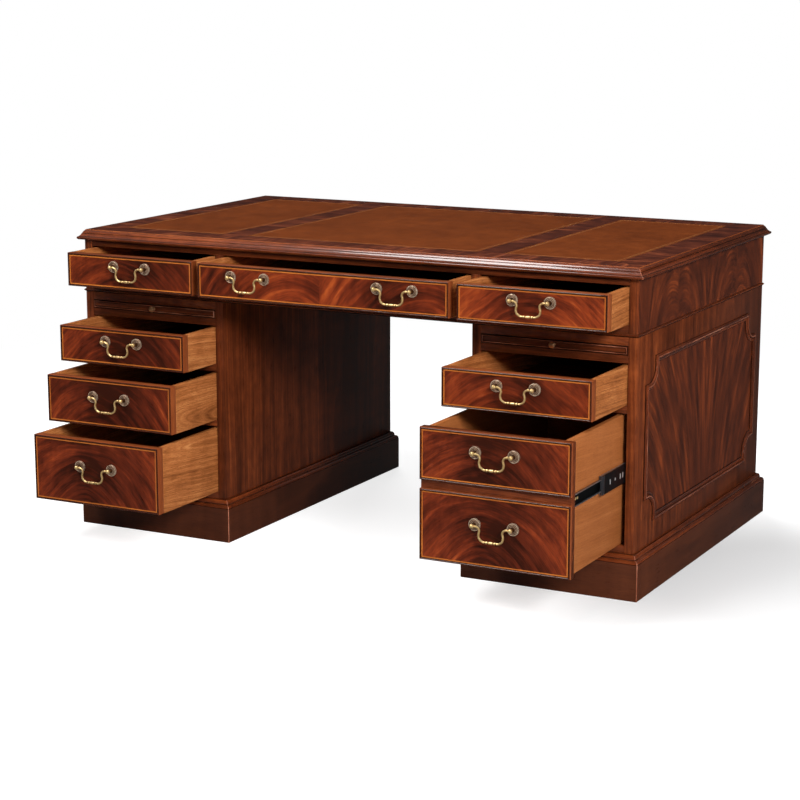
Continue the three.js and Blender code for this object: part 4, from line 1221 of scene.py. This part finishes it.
# The bail: a round wire along the curve. Its radius swells along the bottom, with two notches cut in the
# swelling, and to a collar beside each post. Its front and upper sides are painted brighter as a painted
# highlight, and its underside darker as painted shade
def bailPoints(pivot):
    look = bailLook
    half = np.array(bailPathShares) * (look["end"], -look["drop"])
    line = throughPoints(np.concatenate([half, half[-2::-1] * (-1, 1)]), look["steps"])
    step = np.gradient(line, axis=0)
    step /= np.linalg.norm(step, axis=1)[:, None]
    normal = np.stack([-step[:, 1], step[:, 0]], -1)
    out = np.abs(line[:, 0])
    middle = out / (look["beadLong"] / 2)
    low = line[:, 1] < -look["lowShare"] * look["drop"]
    swell = np.where(low, 1 / (1 + np.exp((middle - look["swellShare"]) * look["swellSharp"])), 0)
    notch = sum(np.exp(-((middle - place) / look["notchWide"]) ** 2) for place in look["notchShares"])
    beads = swell * (1 - look["waves"] + look["waves"] * np.cos(middle * math.pi * 2))
    beads -= np.where(low, notch, 0) * look["notchDeep"]
    collar = np.exp(-((out - look["end"] * look["collarShare"]) / look["collarLong"]) ** 2)
    collar *= line[:, 1] > -look["collarHigh"]
    radius = look["wire"] + (look["bead"] - look["wire"]) * beads + look["collar"] * collar
    radius = np.where(out > look["end"] + look["pinFrom"], look["pinRadius"], radius)
    radius[[0, -1]] = 0
    turn = np.linspace(0, 2 * math.pi, look["sides"], endpoint=False)
    even, most = look["handShare"]
    towardsLight = even - most * np.sin(turn) + most * normal[:, 1:] * np.cos(turn)
    worn = np.where(low, look["beadWear"] - look["notchWear"] * notch, look["wireWear"])
    side = normal[:, None] * np.cos(turn)[None, :, None] * radius[:, None, None]
    x = pivot[0] + line[:, None, 0] + side[..., 0]
    z = pivot[2] + line[:, None, 1] + side[..., 1]
    y = pivot[1] + radius[:, None] * np.sin(turn)
    return np.stack([x, y, z], -1), worn[:, None] * np.clip(towardsLight, 0, 1)


# A front's pulls: two turned posts for each bail, which are one piece with the front, and the bails
def makePulls(front, bails):
    posts = Shell()
    rosette, neck = rosetteProfile(), neckProfile()
    plate = np.concatenate([rosette, neck[:1]])
    for node in bails:
        pivot = np.array(pivotOf[node])
        where = facing("front", (0, pivot[1] + pullLook["projection"], 0))
        for side in (-1, 1):
            centre = (pivot[0] + side * pullLook["spacing"] / 2, pivot[2])
            for part, finish in ((plate, "rosette"), (neck, "brass")):
                turned(posts, where, centre, part[:, :2], pullLook["sides"], finish, part[:, 2])
        shell = Shell()
        points, proud = bailPoints(pivot)
        shell.grid(points, rubbed(points, proud), "brass", closed=True)
        dress(shell, node, sharpAngle=60)
    dress(posts, front, camel(front) + "Posts", sharpAngle=50)


boxLook = {"wall": 0.0125, "floor": 0.006, "floorRise": 0.008, "round": 0.0012, "tongue": 0.002,
           "seed": 100, "seedStep": 7, "fileSeed": 190}


# A drawer's box: two sides with rounded edges, and a back and a floor let into them
def makeBox(node, seed, finish="oak"):
    look = boxLook
    low, high = boxOf(node)
    wall, radius = look["wall"], look["round"]
    left, right = low[0] + wall - look["tongue"], high[0] - wall + look["tongue"]
    rise = low[2] + look["floorRise"]
    shell = Shell()
    board(shell, low, (low[0] + wall, high[1], high[2]), "y", finish, seed, flatSawn, radius)
    board(shell, (high[0] - wall, low[1], low[2]), high, "y", finish, seed + 1, flatSawn, radius)
    board(shell, (left, high[1] - wall, low[2]), (right, high[1], high[2]), "x", finish, seed + 2, flatSawn)
    floorEnd = (right, high[1] - wall / 2, rise + look["floor"])
    board(shell, (left, low[1], rise), floorEnd, "x", finish, seed + 3, flatSawn)
    dress(shell, node)


# A drawer: its beaded front with the leaves' figures, its box and its pulls
def makeDrawer(name, number):
    low, high = boxOf(f"{name}_front")
    thick = frontLook["thick"]
    shell = Shell()
    leaves = [archGrain(*figure) for figure in figures[name]]
    frontField(shell, low[[0, 2]], high[[0, 2]], high[1] - thick, thick, leaves, frontLook["seed"] + number)
    dress(shell, f"{name}_front")
    makeBox(f"{name}_box", boxLook["seed"] + boxLook["seedStep"] * number)
    makePulls(f"{name}_front", [node for node in pivotOf if node.startswith(f"{name}_bail")])


# File drawer: a backing board with two beaded fields on it and a plain strip between them. The fields are
# as high as the left pedestal's lower drawer, and from its middle drawer's foot up
def makeFileFront():
    low, high = boxOf("file_drawer_front")
    faceY = high[1] - frontLook["thick"]
    opening = boxOf("left_lower_drawer_front")
    lowerHead = low[2] + (opening[1][2] - opening[0][2])
    upperFoot = boxOf("left_middle_drawer_front")[0][2] - frontLook["upperFoot"]
    shell = Shell()
    board(shell, (low[0], faceY + frontLook["recess"], low[2]), high, "x", "straight", seed=91)
    thick = frontLook["recess"] + frontLook["glued"]
    upper, lower = figures["file_drawer"]
    for seed, figure, foot, head in ((18, lower, low[2], lowerHead), (19, upper, upperFoot, high[2])):
        frontField(shell, (low[0], foot), (high[0], head), faceY, thick, [archGrain(*figure)], seed)
    dress(shell, "file_drawer_front")
    makeBox("file_drawer_box", boxLook["fileSeed"], "plainOak")
    makePulls("file_drawer_front", ["file_drawer_bail_lower", "file_drawer_bail_upper"])


print("drawers")
for number, name in enumerate(figures):
    if name != "file_drawer":
        makeDrawer(name, number)
makeFileFront()

# Runners: a channel section carried along the drawer, with screws and slots in its web. Places are from
# the front end, and a flange is as thick as the plate, or on the middle member as its ball race
runnerLook = {
    # the section's lips are lighter, edge wear together with a painted highlight along the flanges
    "plate": 0.0012, "bend": 0.0008, "sectionWear": [0.5, 0.5, 1, 1, 0.4, 0.2, 0.2, 0.4, 1, 1, 0.5, 0.5],
    "endWear": 0.8, "screw": 0.0036, "screwRoot": 0.0004, "screwSides": 20, "screwSteps": 5, "screwWear": 1,
    "slotHigh": 0.013, "slotWide": 0.0055, "slotSides": 24, "slotWear": 0.9,
    "slotRings": [(1, -0.0003), (1, 0.0003), (0.72, 0.0005), (0, 0.0005)],
    "cageLong": 0.012, "cageHigh": 0.043, "cageFront": 0.001, "cageIn": 0.006, "cageOut": 0.0005,
    "members": {
        "cabinet": {"flange": 0.0012, "screws": [], "slots": []},
        "middle": {"flange": 0.0077, "screws": [0.075, 0.3, 0.45], "finish": "zinc", "domeShare": 0.12,
                   "slots": [0.045, 0.105, 0.12, 0.24]},
        "drawer": {"flange": 0.0012, "screws": [0.016, 0.026, 0.036, 0.2, 0.36, 0.52], "finish": "brass",
                   "domeShare": 0.3, "slots": []},
    },
}


# The section in X and Z, anticlockwise from the web's foot, with a small chamfer where the metal is bent
def channelOutline(web, lips, foot, head, flange):
    plate, bend = (math.copysign(runnerLook[key], lips - web) for key in ("plate", "bend"))
    chamfer = runnerLook["bend"]
    inner, lower, upper = web + plate, foot + flange, head - flange
    return np.array([
        [web, foot + chamfer], [web + bend, foot], [lips, foot], [lips, lower], [inner + bend / 2, lower],
        [inner, lower + chamfer / 2], [inner, upper - chamfer / 2], [inner + bend / 2, upper], [lips, upper],
        [lips, head], [web + bend, head], [web, head - chamfer]])


# A member: the section between its two ends. The drawer's member has its web at the drawer, and the other
# two have theirs at the case
def makeRunner(node):
    look = runnerLook
    low, high = boxOf(node)
    kind, side = node.split("_")[2:]
    member = look["members"][kind]
    webOnLeft = (side == "right") == (kind == "drawer")
    web, lips = (low[0], high[0]) if webOnLeft else (high[0], low[0])
    outline = channelOutline(web, lips, low[2], high[2], member["flange"])
    shell = Shell()
    ends = [np.stack([outline[:, 0], np.full(len(outline), y), outline[:, 1]], -1) for y in (low[1], high[1])]
    points = np.stack(ends)
    shell.grid(points, rubbed(points, np.array(look["sectionWear"])), "steel", closed=True)
    for end in ends:
        closeSection(shell, end)
    addHardware(shell, kind, side, low, high)
    dress(shell, node)


# The end of a channel: its web, its two flanges and the two bends between them as flat patches
def closeSection(shell, end):
    web, lower, upper = [0, 5, 11, 6], [1, 2, 4, 3], [10, 9, 7, 8]
    heel, toe = [0, 1, 5, 4], [11, 10, 6, 7]
    for patch in (web, lower, upper, heel, toe):
        points = end[patch].reshape(2, 2, 3)
        shell.grid(points, rubbed(points, runnerLook["endWear"]), "steel")


# Screws on the member's outer face, and on the middle one slots and the ball cage's end
def addHardware(shell, kind, side, low, high):
    look, member = runnerLook, runnerLook["members"][kind]
    sign = 1 if side == "right" else -1
    outerFace, innerFace = (high[0], low[0]) if sign > 0 else (low[0], high[0])
    face = innerFace + sign * look["plate"] if kind == "drawer" else outerFace
    where = facing(side, (face, 0, 0))
    middleZ = (low[2] + high[2]) / 2
    for place in member["screws"]:
        dome = circleArc((0, 0), look["screw"], 0, 90, look["screwSteps"]) * (1, member["domeShare"])
        profile = np.concatenate([[[look["screw"], -look["screwRoot"]]], dome])
        centre = (sign * (low[1] + place), middleZ)
        turned(shell, where, centre, profile, look["screwSides"], member["finish"], look["screwWear"])
    for place in member["slots"]:
        slotPlate(shell, where, sign * (low[1] + place), middleZ)
    if kind == "middle":
        half = look["cageHigh"] / 2
        front = [sign * (low[1] - look["cageFront"]), middleZ - half, -look["cageIn"]]
        back = [sign * (low[1] + look["cageLong"]), middleZ + half, look["cageOut"]]
        corners = placed(where, np.array([front, back]))
        board(shell, corners.min(0), corners.max(0), "y", "cage", seed=1)


# A slot's plate: a circle whose upper and lower halves are drawn apart, in rings of a share and a height
def slotPlate(shell, where, along, z):
    look = runnerLook
    turn = np.linspace(0, 2 * math.pi, look["slotSides"], endpoint=False)
    high, wide = look["slotHigh"] / 2, look["slotWide"] / 2
    x = wide * np.cos(turn)
    y = wide * np.sin(turn) + np.sign(np.sin(turn)) * (high - wide)
    share, height = np.array(look["slotRings"]).T[..., None]
    local = np.stack([along + share * x, z + share * y, height + x * 0], -1)
    shell.grid(placed(where, local), rubbed(local, look["slotWear"]), "zinc", closed=True)


print("runners")
for node in [name for name in frame["nodes"] if name.startswith("file_runner")]:
    makeRunner(node)

# Writing slides: a board with a bead on its front edge, a hide let into its top, and a knob
slideLook = {
    "arris": 0.0006, "beadWide": 0.0025, "beadProud": 0.0025, "beadInset": 0.0005, "gap": 0.0013,
    "edgeInset": 0.0002, "root": 0.002, "fieldDeep": 0.0006, "line": 0.0012, "lift": 0.0001,
    "hideMargin": 0.03, "hideDeep": 0.0004,
}


# A slide: the board, a bead of lighter mahogany as a painted highlight swept round its front edge with a
# gap of painted shade about it, a line of painted shade and a field inside the bead, the hide
def makeSlide(side, seed):
    look = slideLook
    node = f"{side}_writing_slide"
    low, high = boxOf(node)
    faceY = low[1] + look["beadProud"]
    shell = Shell()
    start = (low[0], faceY + look["fieldDeep"], low[2])
    board(shell, start, high, "x", "straight", seed, radius=look["arris"])
    where = facing("front", (0, faceY, 0))
    margin = look["beadInset"] + look["beadWide"] + look["gap"]
    xs, zs = (np.array([low[axis], high[axis]]) + margin * inwards for axis in (0, 2))
    edge, root, line = margin - look["edgeInset"], -look["root"], look["line"]
    moulding(shell, where, perimeter(xs, zs), [
        ("shade", [(0, root), (0, 0)]),
        ("rubbed", beadRoll(0, look["beadWide"], look["beadProud"])),
        ("shade", [(edge, 0), (edge, root), (0, root)]),
    ], seed)
    xs, zs = xs + line * inwards, zs + line * inwards
    deep = look["lift"] - look["fieldDeep"]
    sweep(shell, where, perimeter(xs, zs), [[0, deep], [line, deep]], "shade", seed)
    panel(shell, where, xs, zs, deep, straightAcross(seed), "straight")
    inset = look["hideMargin"] * inwards
    onTop = facing("top", (0, 0, high[2] + look["lift"]))
    hidePanel(shell, onTop, [low[0], high[0]] + inset, [faceY, high[1]] + inset, look["hideDeep"])
    dress(shell, node)


# The knob's shares are of its length, apart from the foot ring's
knobLook = {
    "radius": 0.0078, "long": 0.014, "foot": 0.0052, "neck": 0.0032, "sides": 28, "wear": 0.8,
    "ringShare": 0.8, "footShare": 0.09, "waistShare": 0.12, "waistLongShare": 0.2, "waistRows": 8,
    "ballShare": 0.68, "capShare": 0.32, "ballFrom": -62, "ballRows": 15,
}


# Knob: a foot ring, a waist that narrows by a sine, and a flattened ball up to its pole
def knobProfile():
    look = knobLook
    foot, long = look["foot"], look["long"]
    ring = foot * look["ringShare"]
    share = np.linspace(0, 1, look["waistRows"])
    waist = np.stack([ring + (look["neck"] - ring) * np.sin(share * math.pi / 2),
                      long * (look["waistShare"] + look["waistLongShare"] * share)], -1)
    turn = np.radians(np.linspace(look["ballFrom"], 90, look["ballRows"]))
    heights = long * (look["ballShare"] + look["capShare"] * np.sin(turn))
    ball = np.stack([look["radius"] * np.cos(turn), heights], -1)
    base = [[0, jointGap], [foot, jointGap], [foot, long * look["footShare"]], waist[0]]
    return np.concatenate([base, waist, ball])


# The knob stands out from the slide's front edge, in the middle of its node
def makeKnob(side):
    node = f"{side}_slide_knob"
    low, high = boxOf(node)
    centre = (low + high) / 2
    shell = Shell()
    where = facing("front", (0, high[1] + jointGap, 0))
    turned(shell, where, centre[[0, 2]], knobProfile(), knobLook["sides"], "bronze", knobLook["wear"])
    dress(shell, node, sharpAngle=50)


print("slides")
for seed, side in ((95, "left"), (97, "right")):
    makeSlide(side, seed)
    makeKnob(side)

# Floor, light and camera. Each lamp has its place, target, size, power and colour
studio = {
    "floorSize": 30, "floorColour": (200, 202, 204), "floorGlow": 0.78, "lowGlow": 0.24, "lowAt": (1.05, 0.0),
    "lowFrom": 0.3, "lowTo": 0.85, "floorPolish": 0.05, "whiteFrom": 1.9, "whiteTo": 3.0, "worldLight": 0.1,
    "lowPolish": 0.02, "highPolish": 0.22, "polishFrom": 0.3, "polishTo": 0.8,
    "lamps": [
        ("keyLamp", (5.0, -4.4, 3.4), (0.3, -0.2, 0.4), (1.7, 1.7), 560, (255, 253, 251)),
        ("sparkleLamp", (4.6, -4.1, 3.7), (0.3, -0.2, 0.4), (0.45, 0.45), 16, (255, 253, 251)),
        ("lowLamp", (3.4, -4.4, 1.05), (0.3, -0.3, 0.5), (0.7, 1.5), 15, (255, 253, 251)),
        ("topLamp", (0.3, -0.6, 3.6), (0.1, -0.1, 0.6), (1.4, 1.4), 40, (255, 253, 251)),
        ("overheadLamp", (-0.9, -2.2, 3.4), (0.1, -0.3, 0.6), (1.2, 1.7), 84, (255, 253, 251)),
        ("fillLamp", (-3.4, -4.4, 1.9), (-0.2, 0, 0.35), (2.2, 2.2), 5, (255, 253, 251)),
        ("rearLamp", (-2.4, 4.2, 2.6), (0, 0, 0.4), (2.0, 2.0), 110, (255, 253, 251)),
    ],
    "hiddenInPolish": ["keyLamp", "topLamp", "fillLamp", "rearLamp"],
}
cameraLook = {"place": (2.4168, -4.643, 1.4277), "turn": 27.4665, "dip": 11.7347, "lens": 95.35, "sensor": 36}


# Light Path splits the rays: the camera and glass see white, polish sees white above and little near the
# horizon, and the rest is the plain light on the object
def makeWorld():
    world = bpy.data.worlds.new("studio")
    bpy.context.scene.world = world
    world.use_nodes = True
    nodes = Nodes(world.node_tree)
    direct, polish = whiteShares(nodes)
    height = nodes.split(nodes.add("TexCoord", None, None, "Generated"))[2]
    above = nodes.between(height, studio["polishFrom"], studio["polishTo"])
    inPolish = above * (studio["highPolish"] - studio["lowPolish"]) + studio["lowPolish"]
    background = nodes.tree.nodes["Background"]
    background.inputs["Color"].default_value = (1, 1, 1, 1)
    plain = (1 - direct) * (1 - polish) * studio["worldLight"]
    nodes.plug(background.inputs["Strength"], direct + polish * inPolish + plain)


# Shares of a ray that the camera or glass sends, and that polish sends
def whiteShares(nodes):
    camera = nodes.add("LightPath", None, None, "Is Camera Ray")
    glass = nodes.add("LightPath", None, None, "Is Transmission Ray")
    polish = nodes.add("LightPath", None, None, "Is Glossy Ray")
    direct = camera.maths("MAXIMUM", camera, glass)
    return direct, polish * (1 - direct)


# The camera sees the lit floor with a glow added, so that it is white and keeps the desk's shadow, and
# plain white further out. The glow is lowered round one place at the desk's right foot, a painted shadow
# that darkens the floor there beyond the desk's own shadow
def makeFloor():
    half = studio["floorSize"] / 2
    corners = np.array([(-1, -1, 0), (1, -1, 0), (1, 1, 0), (-1, 1, 0)]) * half
    mesh = bpy.data.meshes.new("floor")
    mesh.from_pydata(corners, [], [(0, 1, 2, 3)])
    floor = bpy.data.objects.new("floor", mesh)
    bpy.context.scene.collection.objects.link(floor)
    paintColour = paint(*studio["floorColour"])
    finish = Finish("floor paint", Roughness=1.0, Specular_IOR_Level=0.0, Base_Color=paintColour)
    direct, polish = whiteShares(finish)
    x, y = finish.split(finish.add("TexCoord", None, None, "Object"))[:2]
    far = finish.between((x ** 2 + y ** 2) ** 0.5, studio["whiteFrom"], studio["whiteTo"])
    lowX, lowY = studio["lowAt"]
    fromPaintedShadow = ((x - lowX) ** 2 + (y - lowY) ** 2) ** 0.5
    bright = finish.add("Emission", None, {"Strength": studio["floorGlow"]})
    low = finish.add("Emission", None, {"Strength": studio["lowGlow"]})
    around = finish.between(fromPaintedShadow, studio["lowFrom"], studio["lowTo"])
    glow = finish.add("MixShader", None, {0: around, 1: low, 2: bright})
    white = finish.add("Emission", None, {"Strength": 1.0})
    dim = finish.add("Emission", None, {"Strength": studio["floorPolish"]})
    plain = Wire(finish, finish.shader.outputs[0])
    lit = finish.add("AddShader", None, {0: plain, 1: glow})
    seen = finish.add("MixShader", None, {0: far, 1: lit, 2: white})
    inCamera = finish.add("MixShader", None, {0: direct, 1: plain, 2: seen})
    inPolish = finish.add("MixShader", None, {0: polish, 1: inCamera, 2: dim})
    finish.plug(finish.tree.nodes["Material Output"].inputs["Surface"], inPolish)
    mesh.materials.append(finish.material)


# Puts a thing at a place, turned so that it looks at a target
def aimed(thing, place, target):
    direction = np.array(target, float) - np.array(place, float)
    flat = math.hypot(direction[0], direction[1])
    thing.location = place
    thing.rotation_euler = (math.atan2(flat, -direction[2]), 0, math.atan2(-direction[0], direction[1]))


# Each lamp is a rectangle turned to its target. Polish doesn't see the ones that would stand in it as
# bright patches
def makeLamps():
    for name, place, target, size, power, colour in studio["lamps"]:
        light = bpy.data.lights.new(name, "AREA")
        light.shape, light.energy = "RECTANGLE", power
        light.size, light.size_y = size
        light.color = paint(*colour)[:3]
        lamp = bpy.data.objects.new(name, light)
        lamp.visible_glossy = name not in studio["hiddenInPolish"]
        bpy.context.scene.collection.objects.link(lamp)
        aimed(lamp, place, target)


# The camera is turned round the upright and dipped below level, both in degrees
def makeCamera():
    look = cameraLook
    camera = bpy.data.objects.new("camera", bpy.data.cameras.new("camera"))
    camera.data.sensor_width, camera.data.lens = look["sensor"], look["lens"]
    camera.location = look["place"]
    camera.rotation_euler = (math.radians(90 - look["dip"]), 0, math.radians(look["turn"]))
    bpy.context.scene.collection.objects.link(camera)
    bpy.context.scene.camera = camera


print("studio")
makeWorld()
makeFloor()
makeLamps()
makeCamera()
bpy.context.scene.view_settings.view_transform = "Standard"
